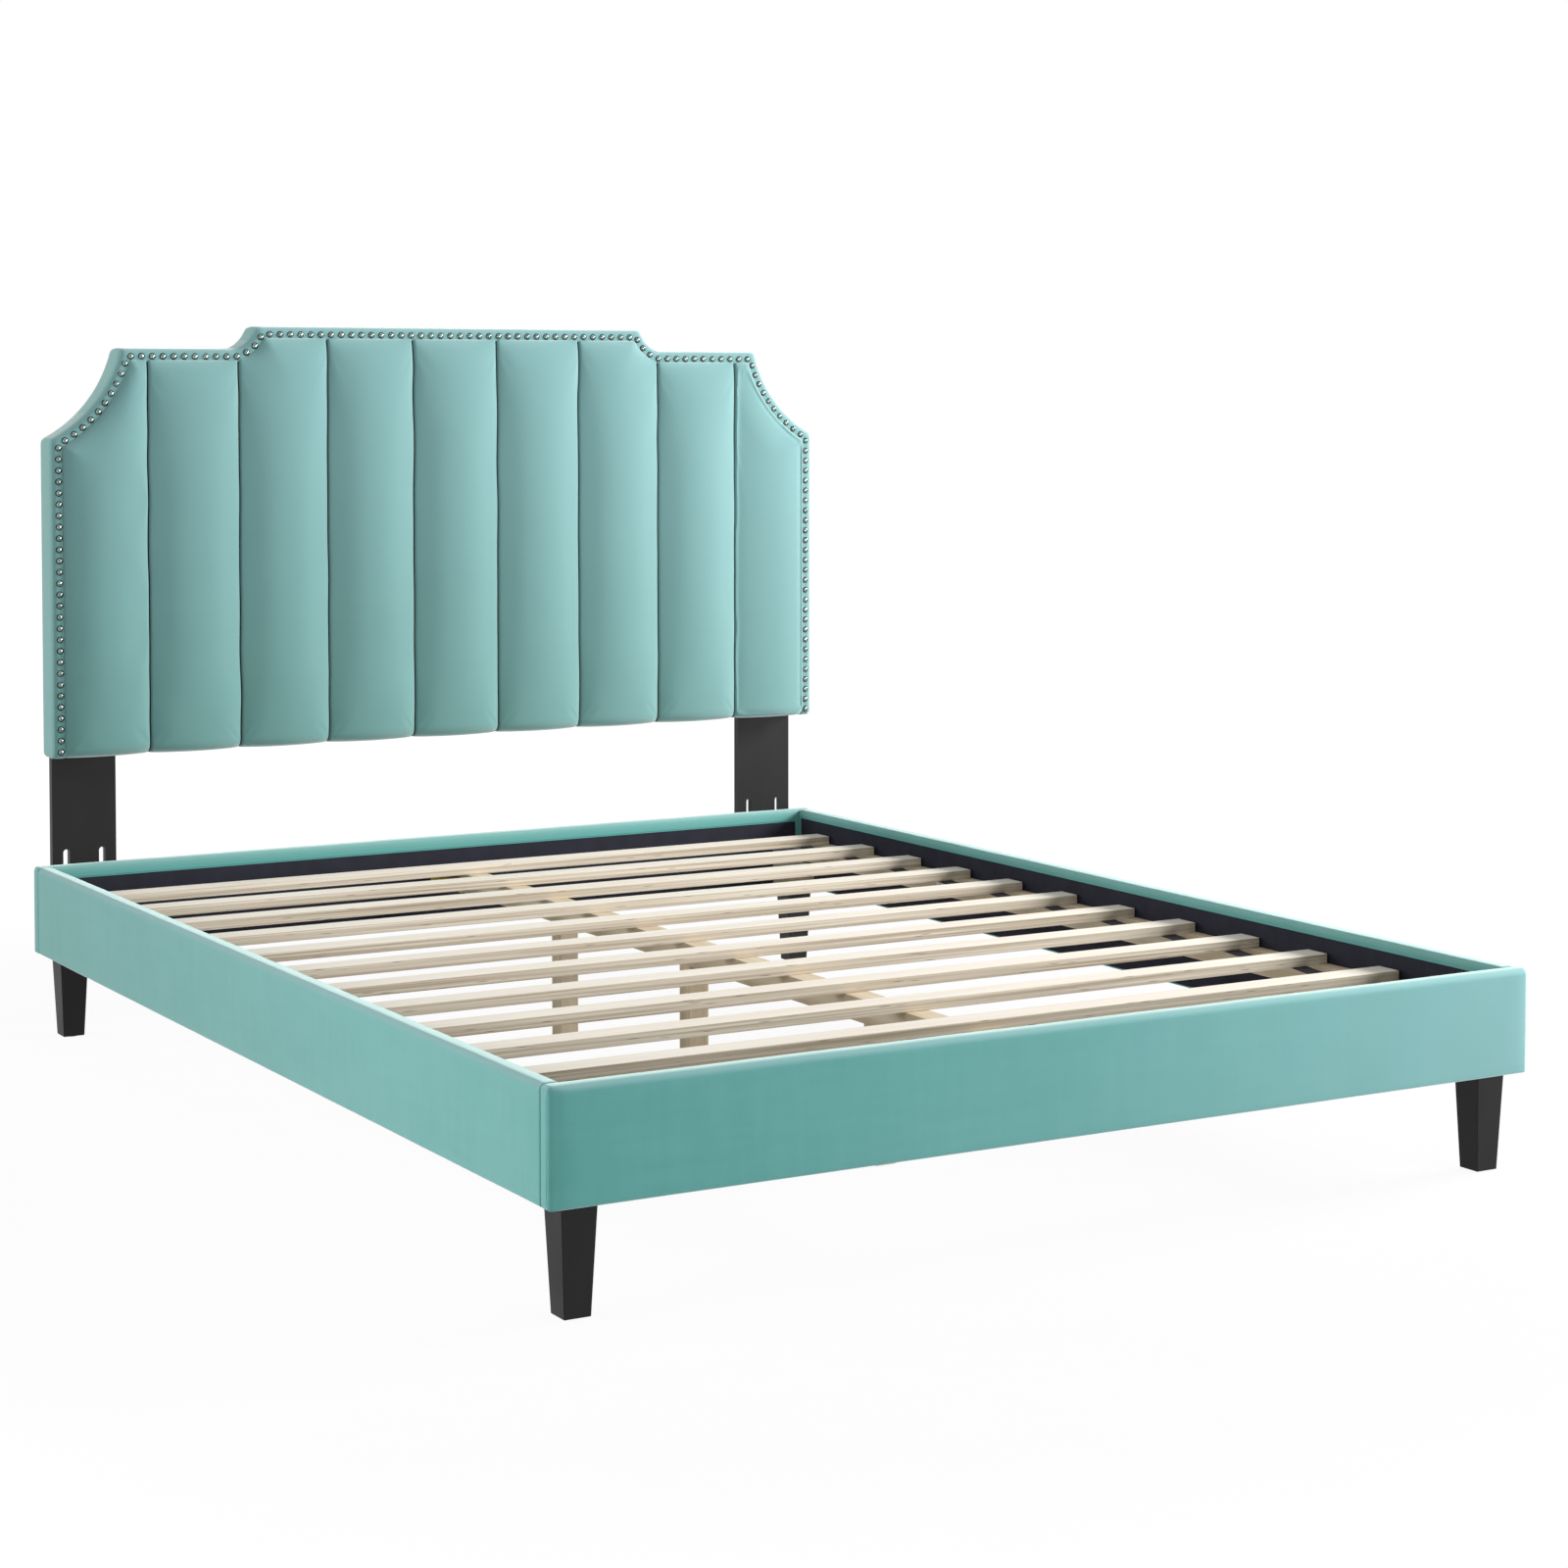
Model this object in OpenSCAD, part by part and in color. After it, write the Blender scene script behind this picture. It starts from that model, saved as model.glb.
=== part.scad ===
// Queen-size upholstered bed: four velvet-covered rails on tapered legs, a slatted base on
// a centre beam, and a channelled headboard with nailhead trim on two slotted struts.
// Millimetres. +Z is up, +X is the right-hand side seen from the foot, the foot end faces
// -Y, and the origin is on the floor under the middle of the bed.

/* [Bed frame] */
// Overall width across the side rails
bed_w = 1600; // [1480:10:1900]
// Length from the face of the foot rail to the back of the head rail
bed_l = 2100; // [1950:10:2250]
// Height of the rails over their covers
rail_h = 154; // [146:1:175]
// Thickness of the board inside each rail
board_t = 20.5; // [18:0.5:24]
// Padding and velvet over a rail's outer face
pad_t = 6; // [4:0.5:9]
// Velvet over a rail's top and bottom edges
edge_t = 2; // [1.5:0.5:4]
// Lining on a rail's inner face
lining_t = 1.5; // [1:0.25:2.5]
// Rounding of the covers' outer edges
cover_edge_r = 6; // [3:0.5:8]
// Velvet over the ends of the head and foot rails
cover_end_t = 3; // [2:0.5:4]
// Rounding of the bed's upright corners
corner_r = 5; // [3:0.5:7]
// Rounding of the side rails' covers beside the corner seams
seam_r = 1.5; // [0.5:0.5:3]
// Velvet turned down inside a side rail
side_turn_in = 16; // [10:1:28]
// Velvet turned down inside the head and foot rails
end_turn_in = 23; // [10:1:28]
// Velvet left showing beside each inner corner
corner_strip = 8; // [4:1:15]
// Height of the linings' lower edge over the rails' lower edge
lining_lift = 3.5; // [2.5:0.5:6]

/* [Legs and corners] */
// Height of the rails' lower edge over the floor
leg_h = 147; // [110:1:200]
// Leg section at the top
leg_top = 51; // [46:1:56]
// Leg section at the floor
leg_foot = 38; // [34:1:44]
// Distance of a leg's top from the bed's side
leg_inset_x = 26; // [22:1:30]
// Distance of a leg's top from the bed's end
leg_inset_y = 22; // [20:1:28]
// Side of a corner block
block_w = 60; // [56:1:66]
// Height of a corner block
block_h = 50; // [44:1:52]
// Arm length of a corner bracket
bracket_arm = 60; // [54:1:62]
// Height of a corner bracket
bracket_h = 38; // [30:1:40]
// Sheet thickness of the brackets and hangers
plate_t = 2; // [1.5:0.25:3]
// Thickness of the glides under legs and posts
glide_t = 1.5; // [1:0.5:5]
// Length of a leg's hanger bolt
leg_bolt_l = 60; // [50:1:64]

/* [Slatted base] */
// Depth of the mattress tray from the rails' top to the slats' top
tray_depth = 38.5; // [30:0.5:42]
// Width of a slat
slat_w = 46.5; // [36:0.5:60]
// Thickness of a slat
slat_t = 16.5; // [15:0.5:22]
// Clearance between a slat's end and the side rail
slat_end_gap = 4; // [1:0.5:8]
// Space between the foot rail and the first slat
slat_foot_gap = 50; // [46:1:80]
// Space between the last slat and the head rail
slat_head_gap = 80; // [74:1:110]
// Width of a side ledger
ledger_w = 20; // [18:1:30]
// Height of a side ledger
ledger_h = 40; // [34:1:41]
// Space between a ledger's end and the head or foot rail
ledger_end_gap = 68; // [64:1:72]
// Width of a webbing strap
strap_w = 28; // [20:1:32]
// Thickness of a webbing strap
strap_t = 1.5; // [1:0.25:2]
// Distance of a strap's middle from the slats' ends
strap_inset = 54; // [48:1:70]
// Width of the centre beam
beam_w = 40; // [36:1:50]
// Height of the centre beam
beam_h = 36; // [34:1:50]
// Length of a beam hanger's shoe
hanger_l = 92; // [60:1:100]
// Width of a hanger's flange on the rail
hanger_flange = 18; // [14:1:24]
// Section of a centre post
post_w = 35; // [30:1:40]
// Distance of the end posts from the head and foot rails
post_end_gap = 494; // [420:2:520]
// Distance of the middle post from the base's middle, towards the head
post_shift = 50; // [0:1:80]

/* [Headboard] */
// Distance of the headboard's side from the bed's side
hb_inset = 20; // [10:1:26]
// Gap between the rails' top and the headboard's lower edge, at rest
hb_gap = 197; // [150:1:230]
// Height of the straight sides
hb_side_h = 566; // [480:2:640]
// Width of the large side scoop
scoop_w = 130; // [110:1:150]
// Height of the large side scoop
scoop_h = 162; // [140:1:180]
// Radius of the large side scoop
scoop_r = 243; // [180:1:320]
// Width of the level shoulder
shoulder_w = 214; // [170:1:240]
// Width of the notch between shoulder and crest
notch_w = 42; // [34:1:48]
// Height of the notch between shoulder and crest
notch_h = 41; // [34:1:48]
// Radius of the notch
notch_r = 60; // [45:1:90]
// Depth of the headboard at its nailed border
hb_depth = 64; // [52:1:80]
// Thickness of the headboard's plywood panel
panel_t = 20; // [15:1:24]
// Padding over the panel's edges
panel_edge = 6; // [4:0.5:9]
// Width of the flat border that carries the nails
border_w = 24; // [22:0.5:30]
// Border cloth turned in on the back
back_turn_in = 30; // [24:1:36]
// Thickness of the cloth on the back and under the lower edge
backing_t = 1.5; // [1:0.25:3]
// How far the channels' crowns stand over their seams
channel_crown = 16; // [8:1:22]
// Depth of the channel seams under the border's face
seam_sink = 2; // [0:0.5:6]
// Distance from the headboard's side to the outer channels' nominal edge
channel_edge = 6; // [2:1:12]
// Gap between neighbouring channels
channel_gap = 0.4; // [0.2:0.1:1]

/* [Nailhead trim] */
// Diameter of a nail's head
nail_d = 11; // [8:0.5:12]
// Height of a nail's head
nail_h = 3; // [2:0.25:4]
// Distance of the nails' row from the headboard's edge
nail_inset = 14; // [13:0.5:16]
// Spacing of the nails
nail_pitch = 20; // [16:0.5:30]
// Height of the lowest nail over the headboard's lower edge
nail_start = 12; // [8:1:20]

/* [Struts] */
// Width of a strut
strut_w = 118; // [110:1:132]
// Thickness of a strut
strut_t = 15; // [12:0.5:22]
// Distance of a strut's middle from the bed's side
strut_inset = 95; // [90:1:110]
// Height of a strut's lower end over the rails' lower edge
strut_lift = 13; // [6:1:20]
// Length of a strut behind the headboard
strut_overlap = 450; // [360:5:520]
// Spacing of a strut's two slots
slot_pitch = 66; // [56:1:72]
// Height of the slots' upper end over the rails' top
slot_rise = 26; // [18:1:40]
// Length of a slot
slot_l = 141; // [110:1:142]
// Diameter of the clamp bolts
clamp_d = 8; // [6:0.5:10]
// Clearance between a clamp bolt and the side of its slot
slot_clear = 2; // [0.5:0.1:2.5]
// Clearance between a strut and what clamps it
slide_clear = 0.2; // [0.1:0.05:0.4]
// Height of a clamp bolt's hexagonal head
clamp_head_h = 5.5; // [4:0.5:8]

/* [Hidden] */
$fn = 48;
SLATS = 12;
CHANNELS = 9;
SIDES = [-1, 1];

// Clearance of a bolt or screw in a drilled hole
drill_clear = 0.2;
// Clearance between the centre beam and its hangers, and between pads and border
fit_clear = 0.2;
// Extra length of a cutting solid past the face it cuts
cut = 1;

// Rails
rail_t = pad_t + board_t + lining_t;
inner_edge_r = min(cover_edge_r, edge_t + lining_t) / 2;
side_x = bed_w / 2;
in_x = side_x - rail_t;
inner_l = bed_l - 2 * rail_t;
rail_top = leg_h + rail_h;

// Everything behind the head rail, so that the origin is at the middle of the whole depth
washer_t = 2;
washer_rim = 5;
washer_r = clamp_d / 2 + washer_rim;
clamp_stack = slide_clear + strut_t + slide_clear + washer_t + clamp_head_h;
foot_y = -(bed_l + clamp_stack) / 2;
head_y = foot_y + bed_l;
in_foot_y = foot_y + rail_t;
in_head_y = head_y - rail_t;
mid_y = (foot_y + head_y) / 2;

// Legs, corner blocks and brackets
leg_x = side_x - leg_inset_x - leg_top / 2;
leg_foot_y = foot_y + leg_inset_y + leg_top / 2;
leg_head_y = head_y - leg_inset_y - leg_top / 2;
leg_bolt_r = 4;
glide_r = 14;
post_glide_r = 12;
bracket_lift = 1;
bracket_z = leg_h + block_h + bracket_lift;
bracket_bolt_r = 3;
bracket_bolt_l = 18;
bracket_bolt_head = [5, 3.5];
bracket_holes = [0.38, 0.78];

// Slats, ledgers, beam and posts
slat_z = rail_top - tray_depth - slat_t;
slat_l = 2 * (in_x - slat_end_gap);
slat_pitch = (inner_l - slat_foot_gap - slat_head_gap - slat_w) / (SLATS - 1);
ledger_l = inner_l - 2 * ledger_end_gap;
ledger_screws_n = 6;
ledger_screw_r = 2;
ledger_screw_head = [4.5, 3];
ledger_screw_l = 32;
strap_x = slat_l / 2 - strap_inset;
strap_l = (SLATS - 1) * slat_pitch + slat_w;
beam_z = slat_z - beam_h;
beam_l = inner_l - 2 * (plate_t + fit_clear);
hanger_drop = 4;
hanger_side_h = beam_h - hanger_drop;
post_ys = [
  in_foot_y + post_end_gap,
  mid_y + post_shift,
  in_head_y - post_end_gap
];

// Headboard outline, in the X-Z plane
hb_half = side_x - hb_inset;
hb_z = rail_top + hb_gap;
side_top_z = hb_z + hb_side_h;
shoulder_z = side_top_z + scoop_h;
crest_z = shoulder_z + notch_h;
shoulder_x = hb_half - scoop_w;
notch_x = shoulder_x - shoulder_w;
crest_x = notch_x - notch_w;
scoop_c = arc_centre([shoulder_x, shoulder_z], [hb_half, side_top_z], scoop_r);
notch_c = arc_centre([crest_x, crest_z], [notch_x, shoulder_z], notch_r);
hb_back_y = head_y + slide_clear;
pad_back = backing_t + panel_t;
wrap_t = 2 * backing_t;
seam_depth = hb_depth - seam_sink;
channel_pitch = 2 * (hb_half - channel_edge) / CHANNELS;
crown_r = (pow(channel_pitch / 2, 2) + pow(channel_crown, 2)) / (2 * channel_crown);

// Struts and their fasteners
strut_x = side_x - strut_inset;
strut_z = leg_h + strut_lift;
strut_top = hb_z + strut_overlap;
slot_w = clamp_d + 2 * slot_clear;
slot_top = rail_top + slot_rise;
clamp_z = leg_h + rail_h / 2;
clamp_head_r = 13 / 8 * clamp_d / 2 / cos(30);
clamp_hole_r = clamp_d / 2 + drill_clear;
tee_nut_wall = 2.5;
tee_nut_r = clamp_d / 2 + tee_nut_wall;
tee_nut_l = 10;
strut_screw_r = 3.5;
strut_screw_head = [8, 4];
strut_screw_tip = 2;
strut_screw_in = panel_t - strut_screw_tip;
strut_screw_edge = 60;
strut_screw_rows = [hb_z + strut_screw_edge, strut_top - strut_screw_edge];

// ---- Functions ----

// Centre of the arc of radius r from a down to b that is hollow towards the upper right
function arc_centre(a, b, r) =
  let (d = b - a, rise = sqrt(r * r - d * d / 4))
  (a + b) / 2 + rise * [-d[1], d[0]] / norm(d);

function on_circle(c, r, a) = c + r * [cos(a), sin(a)];

// Angles at which a circle meets a level line, on its left, and an upright line, below
function level_angle(c, r, z) = 180 + asin((c[1] - z) / r);
function upright_angle(c, r, x) = 360 - acos((x - c[0]) / r);

function arc_points(c, r, a0, a1, n) =
  [for (i = [0:n]) on_circle(c, r, a0 + (a1 - a0) * i / n)];

// Right-hand edge of the headboard, drawn in by d, from its lower end up to the crest
function right_edge(d, low, n) = concat(
  [[hb_half - d, hb_z + low]],
  arc_points(
    scoop_c, scoop_r + d,
    upright_angle(scoop_c, scoop_r + d, hb_half - d),
    level_angle(scoop_c, scoop_r + d, shoulder_z - d),
    2 * n
  ),
  arc_points(
    notch_c, notch_r + d,
    level_angle(notch_c, notch_r + d, shoulder_z - d),
    level_angle(notch_c, notch_r + d, crest_z - d),
    n
  )
);

function mirrored(points) =
  [for (i = [len(points) - 1:-1:0]) [-points[i][0], points[i][1]]];

// Whole edge from the lower right over the crest to the lower left
function whole_edge(d, low, n = 8) =
  let (edge = right_edge(d, low, n))
  concat(edge, mirrored(edge));

// Length of a path up to its point i, and the point that lies s along it
function run_to(path, i) =
  i == 0 ? [0] :
  let (before = run_to(path, i - 1))
  concat(before, [before[i - 1] + norm(path[i] - path[i - 1])]);

function at_length(path, runs, s) =
  let (
    i = max([for (k = [0:len(path) - 2]) runs[k] <= s ? k : 0]),
    t = (s - runs[i]) / (runs[i + 1] - runs[i])
  )
  path[i] + min(t, 1) * (path[i + 1] - path[i]);

// ---- Helpers ----

// Stands a flat X-Z outline up in the headboard, between two depths from its back
module in_headboard(from, to) {
  translate([0, hb_back_y - from, 0])
    rotate([90, 0, 0])
      linear_extrude(to - from)
        children();
}

module hb_outline(d, low) {
  polygon(whole_edge(d, low));
}

// Places children at the four inner corners, turned so that +X and +Y point into the base
module at_corners() {
  for (sx = SIDES)
    for (sy = SIDES)
      translate([sx * in_x, sy < 0 ? in_foot_y : in_head_y, 0])
        mirror([sx > 0 ? 1 : 0, 0, 0])
          mirror([0, sy > 0 ? 1 : 0, 0])
            children();
}

// Places children at the four clamp bolts, on the head rail's back face
module at_clamps() {
  for (sx = SIDES)
    for (side = SIDES)
      translate([sx * strut_x + side * slot_pitch / 2, head_y, clamp_z])
        children();
}

// Places children at the strut screws, on the struts' back face
module at_strut_screws() {
  for (sx = SIDES)
    for (side = SIDES)
      for (z = strut_screw_rows)
        translate([sx * strut_x + side * slot_pitch / 2, hb_back_y + strut_t, z])
          children();
}

// Places children along both ledgers, on the side rails' inner faces, +X pointing outwards
module at_ledger_screws() {
  for (sx = SIDES)
    for (i = [0:ledger_screws_n - 1])
      translate([
        sx * in_x,
        mid_y + ledger_l * ((i + 0.5) / ledger_screws_n - 0.5),
        slat_z - ledger_h / 2
      ])
        mirror([sx > 0 ? 0 : 1, 0, 0])
          children();
}

// Places children at the corner bolts, on the rails' inner faces, +X pointing outwards
module at_corner_bolts() {
  at_corners()
    for (share = bracket_holes) {
      translate([0, bracket_arm * share, bracket_z + bracket_h / 2])
        rotate([0, 0, 180])
          children();
      translate([bracket_arm * share, 0, bracket_z + bracket_h / 2])
        rotate([0, 0, -90])
          children();
    }
}

// Round rod along +X, from x = from to x = to
module rod_x(r, from, to) {
  translate([from, 0, 0])
    rotate([0, 90, 0])
      cylinder(r = r, h = to - from);
}

// Round rod along +Y, from y = from to y = to
module rod_y(r, from, to) {
  translate([0, from, 0])
    rotate([-90, 0, 0])
      cylinder(r = r, h = to - from);
}

// What a rounding of radius r takes off a square corner at the origin
module corner_waste(r) {
  difference() {
    translate([-cut, -cut])
      square(r + cut);
    translate([r, r])
      circle(r);
  }
}

// ---- Rails: outer face at y = 0, inner face at y = rail_t, along X, standing on z = 0 ----

module rail_section() {
  difference() {
    square([rail_t, rail_h]);
    corner_waste(cover_edge_r);
    translate([0, rail_h])
      mirror([0, 1])
        corner_waste(cover_edge_r);
    translate([rail_t, 0])
      mirror([1, 0])
        corner_waste(inner_edge_r);
    translate([rail_t, rail_h])
      rotate(180)
        corner_waste(inner_edge_r);
  }
}

module rail_plan(length, end_r) {
  difference() {
    translate([-length / 2, 0])
      square([length, rail_t]);
    for (sx = SIDES)
      translate([sx * length / 2, 0])
        mirror([sx > 0 ? 1 : 0, 0])
          corner_waste(end_r);
  }
}

module rail_board(length, end_t) {
  translate([-length / 2 + end_t, pad_t, edge_t])
    cube([length - 2 * end_t, board_t, rail_h - 2 * edge_t]);
}

module rail_lining(length, turn_in) {
  translate([-length / 2, rail_t - lining_t, lining_lift])
    cube([length, lining_t, rail_h - turn_in - lining_lift]);
}

module rail_cover(length, end_t, end_r, turn_in, lining_l) {
  board_l = end_t > 0 ? length - 2 * end_t : length + 2 * cut;
  difference() {
    intersection() {
      translate([-length / 2, 0, 0])
        rotate([90, 0, 90])
          linear_extrude(length)
            rail_section();
      linear_extrude(rail_h)
        rail_plan(length, end_r);
    }
    translate([-board_l / 2, pad_t, edge_t])
      cube([board_l, board_t, rail_h - 2 * edge_t]);
    translate([-lining_l / 2, rail_t - lining_t, lining_lift])
      cube([lining_l, lining_t + cut, rail_h - turn_in - lining_lift]);
  }
}

end_lining_l = bed_w - 2 * (rail_t + corner_strip);
side_lining_l = inner_l - 2 * corner_strip;

module at_foot() {
  translate([0, foot_y, leg_h])
    children();
}

module at_head() {
  translate([0, head_y, leg_h])
    rotate([0, 0, 180])
      children();
}

module at_left() {
  translate([-side_x, mid_y, leg_h])
    rotate([0, 0, -90])
      children();
}

module at_right() {
  translate([side_x, mid_y, leg_h])
    rotate([0, 0, 90])
      children();
}

// Holes for the corner bolts and the ledger screws
module rail_holes() {
  at_corner_bolts()
    rod_x(bracket_bolt_r + drill_clear, -cut, bracket_bolt_l - plate_t + drill_clear);
  at_ledger_screws()
    rod_x(ledger_screw_r + drill_clear, -cut, ledger_screw_l - ledger_w + drill_clear);
}

// Holes for the clamp bolts, with a wider seat for their tee nuts
module clamp_holes() {
  at_clamps() {
    rod_y(clamp_hole_r, -rail_t + lining_t, cut);
    rod_y(tee_nut_r + drill_clear, -rail_t + lining_t, -rail_t + lining_t + tee_nut_l);
  }
}

module foot_rail_board() {
  color("burlywood")
    difference() {
      at_foot() rail_board(bed_w, cover_end_t);
      rail_holes();
    }
}

module foot_rail_cover() {
  color("mediumaquamarine")
    at_foot() rail_cover(bed_w, cover_end_t, corner_r, end_turn_in, end_lining_l);
}

module foot_rail_lining() {
  color("darkslategray")
    difference() {
      at_foot() rail_lining(end_lining_l, end_turn_in);
      rail_holes();
    }
}

module head_rail_board() {
  color("burlywood")
    difference() {
      at_head() rail_board(bed_w, cover_end_t);
      rail_holes();
      clamp_holes();
    }
}

module head_rail_cover() {
  color("mediumaquamarine")
    difference() {
      at_head() rail_cover(bed_w, cover_end_t, corner_r, end_turn_in, end_lining_l);
      clamp_holes();
    }
}

module head_rail_lining() {
  color("darkslategray")
    difference() {
      at_head() rail_lining(end_lining_l, end_turn_in);
      rail_holes();
    }
}

module left_rail_board() {
  color("burlywood")
    difference() {
      at_left() rail_board(inner_l, 0);
      rail_holes();
    }
}

module left_rail_cover() {
  color("mediumaquamarine")
    at_left() rail_cover(inner_l, 0, seam_r, side_turn_in, side_lining_l);
}

module left_rail_lining() {
  color("darkslategray")
    difference() {
      at_left() rail_lining(side_lining_l, side_turn_in);
      rail_holes();
    }
}

module right_rail_board() {
  color("burlywood")
    difference() {
      at_right() rail_board(inner_l, 0);
      rail_holes();
    }
}

module right_rail_cover() {
  color("mediumaquamarine")
    at_right() rail_cover(inner_l, 0, seam_r, side_turn_in, side_lining_l);
}

module right_rail_lining() {
  color("darkslategray")
    difference() {
      at_right() rail_lining(side_lining_l, side_turn_in);
      rail_holes();
    }
}

// ---- Ledgers ----

module ledger(side) {
  color("wheat")
    difference() {
      translate([side > 0 ? in_x - ledger_w : -in_x, mid_y - ledger_l / 2, slat_z - ledger_h])
        cube([ledger_w, ledger_l, ledger_h]);
      at_ledger_screws() {
        rod_x(ledger_screw_r + drill_clear, -ledger_w - cut, cut);
        rod_x(ledger_screw_head[0] + drill_clear, -ledger_w - cut, -ledger_w + ledger_screw_head[1]);
      }
    }
}

module ledger_screws() {
  color("silver")
    at_ledger_screws() {
      rod_x(ledger_screw_r, -ledger_w + cut, ledger_screw_l - ledger_w);
      rod_x(ledger_screw_head[0], -ledger_w, -ledger_w + ledger_screw_head[1]);
    }
}

// ---- Corners and legs ----

module corner_blocks() {
  color("tan")
    difference() {
      at_corners()
        translate([0, 0, leg_h])
          cube([block_w, block_w, block_h]);
      leg_bolt_holes();
    }
}

module corner_brackets() {
  color("gainsboro")
    difference() {
      at_corners()
        translate([0, 0, bracket_z])
          difference() {
            cube([bracket_arm, bracket_arm, bracket_h]);
            translate([plate_t, plate_t, -cut])
              cube([bracket_arm, bracket_arm, bracket_h + 2 * cut]);
          }
      at_corner_bolts()
        rod_x(bracket_bolt_r + drill_clear, -plate_t - cut, cut);
    }
}

module corner_bolts() {
  color("silver")
    at_corner_bolts() {
      rod_x(bracket_bolt_r, -plate_t - cut, bracket_bolt_l - plate_t);
      rod_x(bracket_bolt_head[0], -plate_t - bracket_bolt_head[1], -plate_t);
    }
}

// Square post that narrows from its top towards its foot
module tapered_leg() {
  rise = leg_h - glide_t;
  profile = [
    [-leg_foot / 2, 0], [leg_foot / 2, 0],
    [leg_top / 2, rise], [-leg_top / 2, rise]
  ];
  intersection() {
    translate([0, leg_top / 2, 0])
      rotate([90, 0, 0])
        linear_extrude(leg_top)
          polygon(profile);
    translate([-leg_top / 2, 0, 0])
      rotate([90, 0, 90])
        linear_extrude(leg_top)
          polygon(profile);
  }
}

module at_legs() {
  for (x = [-leg_x, leg_x])
    for (y = [leg_foot_y, leg_head_y])
      translate([x, y, 0])
        children();
}

module at_posts() {
  for (y = post_ys)
    translate([0, y, 0])
      children();
}

module leg_bolt_holes() {
  at_legs()
    translate([0, 0, leg_h - leg_bolt_l / 2 - drill_clear])
      cylinder(r = leg_bolt_r + drill_clear, h = leg_bolt_l + 2 * drill_clear);
  at_posts()
    translate([0, 0, beam_z - leg_bolt_l / 2 - drill_clear])
      cylinder(r = leg_bolt_r + drill_clear, h = leg_bolt_l + 2 * drill_clear);
}

module leg_bolts() {
  color("silver") {
    at_legs()
      translate([0, 0, leg_h - leg_bolt_l / 2])
        cylinder(r = leg_bolt_r, h = leg_bolt_l);
    at_posts()
      translate([0, 0, beam_z - leg_bolt_l / 2])
        cylinder(r = leg_bolt_r, h = leg_bolt_l);
  }
}

module leg(x, y) {
  color("dimgray")
    difference() {
      translate([x, y, glide_t])
        tapered_leg();
      leg_bolt_holes();
    }
}

module glides() {
  color("black") {
    at_legs()
      cylinder(r = glide_r, h = glide_t);
    at_posts()
      cylinder(r = post_glide_r, h = glide_t);
  }
}

// ---- Centre beam, hangers and posts ----

module centre_beam() {
  color("navajowhite")
    difference() {
      translate([-beam_w / 2, mid_y - beam_l / 2, beam_z])
        cube([beam_w, beam_l, beam_h]);
      leg_bolt_holes();
    }
}

// Shoe with its back plate on y = 0, opening towards +Y
module beam_hanger() {
  shoe_w = beam_w + 2 * (fit_clear + plate_t);
  translate([-shoe_w / 2 - hanger_flange, 0, -plate_t])
    cube([shoe_w + 2 * hanger_flange, plate_t, hanger_side_h + plate_t]);
  translate([-shoe_w / 2, 0, -plate_t])
    cube([shoe_w, hanger_l, plate_t]);
  for (x = [-shoe_w / 2, shoe_w / 2 - plate_t])
    translate([x, 0, -plate_t])
      cube([plate_t, hanger_l, hanger_side_h + plate_t]);
}

module beam_hangers() {
  color("goldenrod") {
    translate([0, in_foot_y, beam_z])
      beam_hanger();
    translate([0, in_head_y, beam_z])
      mirror([0, 1, 0])
        beam_hanger();
  }
}

module centre_post(y) {
  color("wheat")
    difference() {
      translate([-post_w / 2, y - post_w / 2, glide_t])
        cube([post_w, post_w, beam_z - glide_t]);
      leg_bolt_holes();
    }
}

// ---- Slats and webbing ----

module slat(i) {
  color("cornsilk")
    translate([-slat_l / 2, in_foot_y + slat_foot_gap + i * slat_pitch, slat_z])
      cube([slat_l, slat_w, slat_t]);
}

module slat_webbing() {
  color("black")
    for (sx = SIDES)
      translate([sx * strap_x - strap_w / 2, in_foot_y + slat_foot_gap, slat_z - strap_t])
        cube([strap_w, strap_l, strap_t]);
}

// ---- Headboard ----

module headboard_panel() {
  color("burlywood")
    difference() {
      in_headboard(backing_t, pad_back)
        hb_outline(panel_edge, wrap_t);
      at_strut_screws()
        rod_y(
          strut_screw_r + drill_clear,
          -strut_t - backing_t - strut_screw_in - drill_clear,
          cut
        );
    }
}

module headboard_border() {
  color("mediumaquamarine") {
    in_headboard(0, backing_t)
      difference() {
        hb_outline(0, 0);
        hb_outline(back_turn_in, back_turn_in);
      }
    in_headboard(backing_t, pad_back)
      difference() {
        hb_outline(0, 0);
        hb_outline(panel_edge, wrap_t);
      }
    in_headboard(pad_back, hb_depth)
      difference() {
        hb_outline(0, 0);
        hb_outline(border_w, -cut);
      }
  }
}

module headboard_backing() {
  color("darkslategray")
    difference() {
      in_headboard(0, backing_t)
        hb_outline(back_turn_in, back_turn_in);
      at_strut_screws()
        rod_y(strut_screw_r + drill_clear, -strut_t - backing_t - cut, cut);
    }
}

// Crowned channel pad, cut to the headboard's outline inside the border
module channel(i) {
  middle = (i - (CHANNELS - 1) / 2) * channel_pitch;
  pad_w = channel_pitch - channel_gap;
  depth = seam_depth + channel_crown - pad_back;
  color("aquamarine")
    intersection() {
      translate([middle, hb_back_y - pad_back, hb_z])
        linear_extrude(crest_z - hb_z)
          intersection() {
            translate([-pad_w / 2, -depth])
              square([pad_w, depth]);
            translate([0, crown_r - depth])
              circle(crown_r, $fn = 120);
          }
      in_headboard(0, hb_depth + channel_crown + cut)
        hb_outline(border_w + fit_clear, 0);
    }
}

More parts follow.
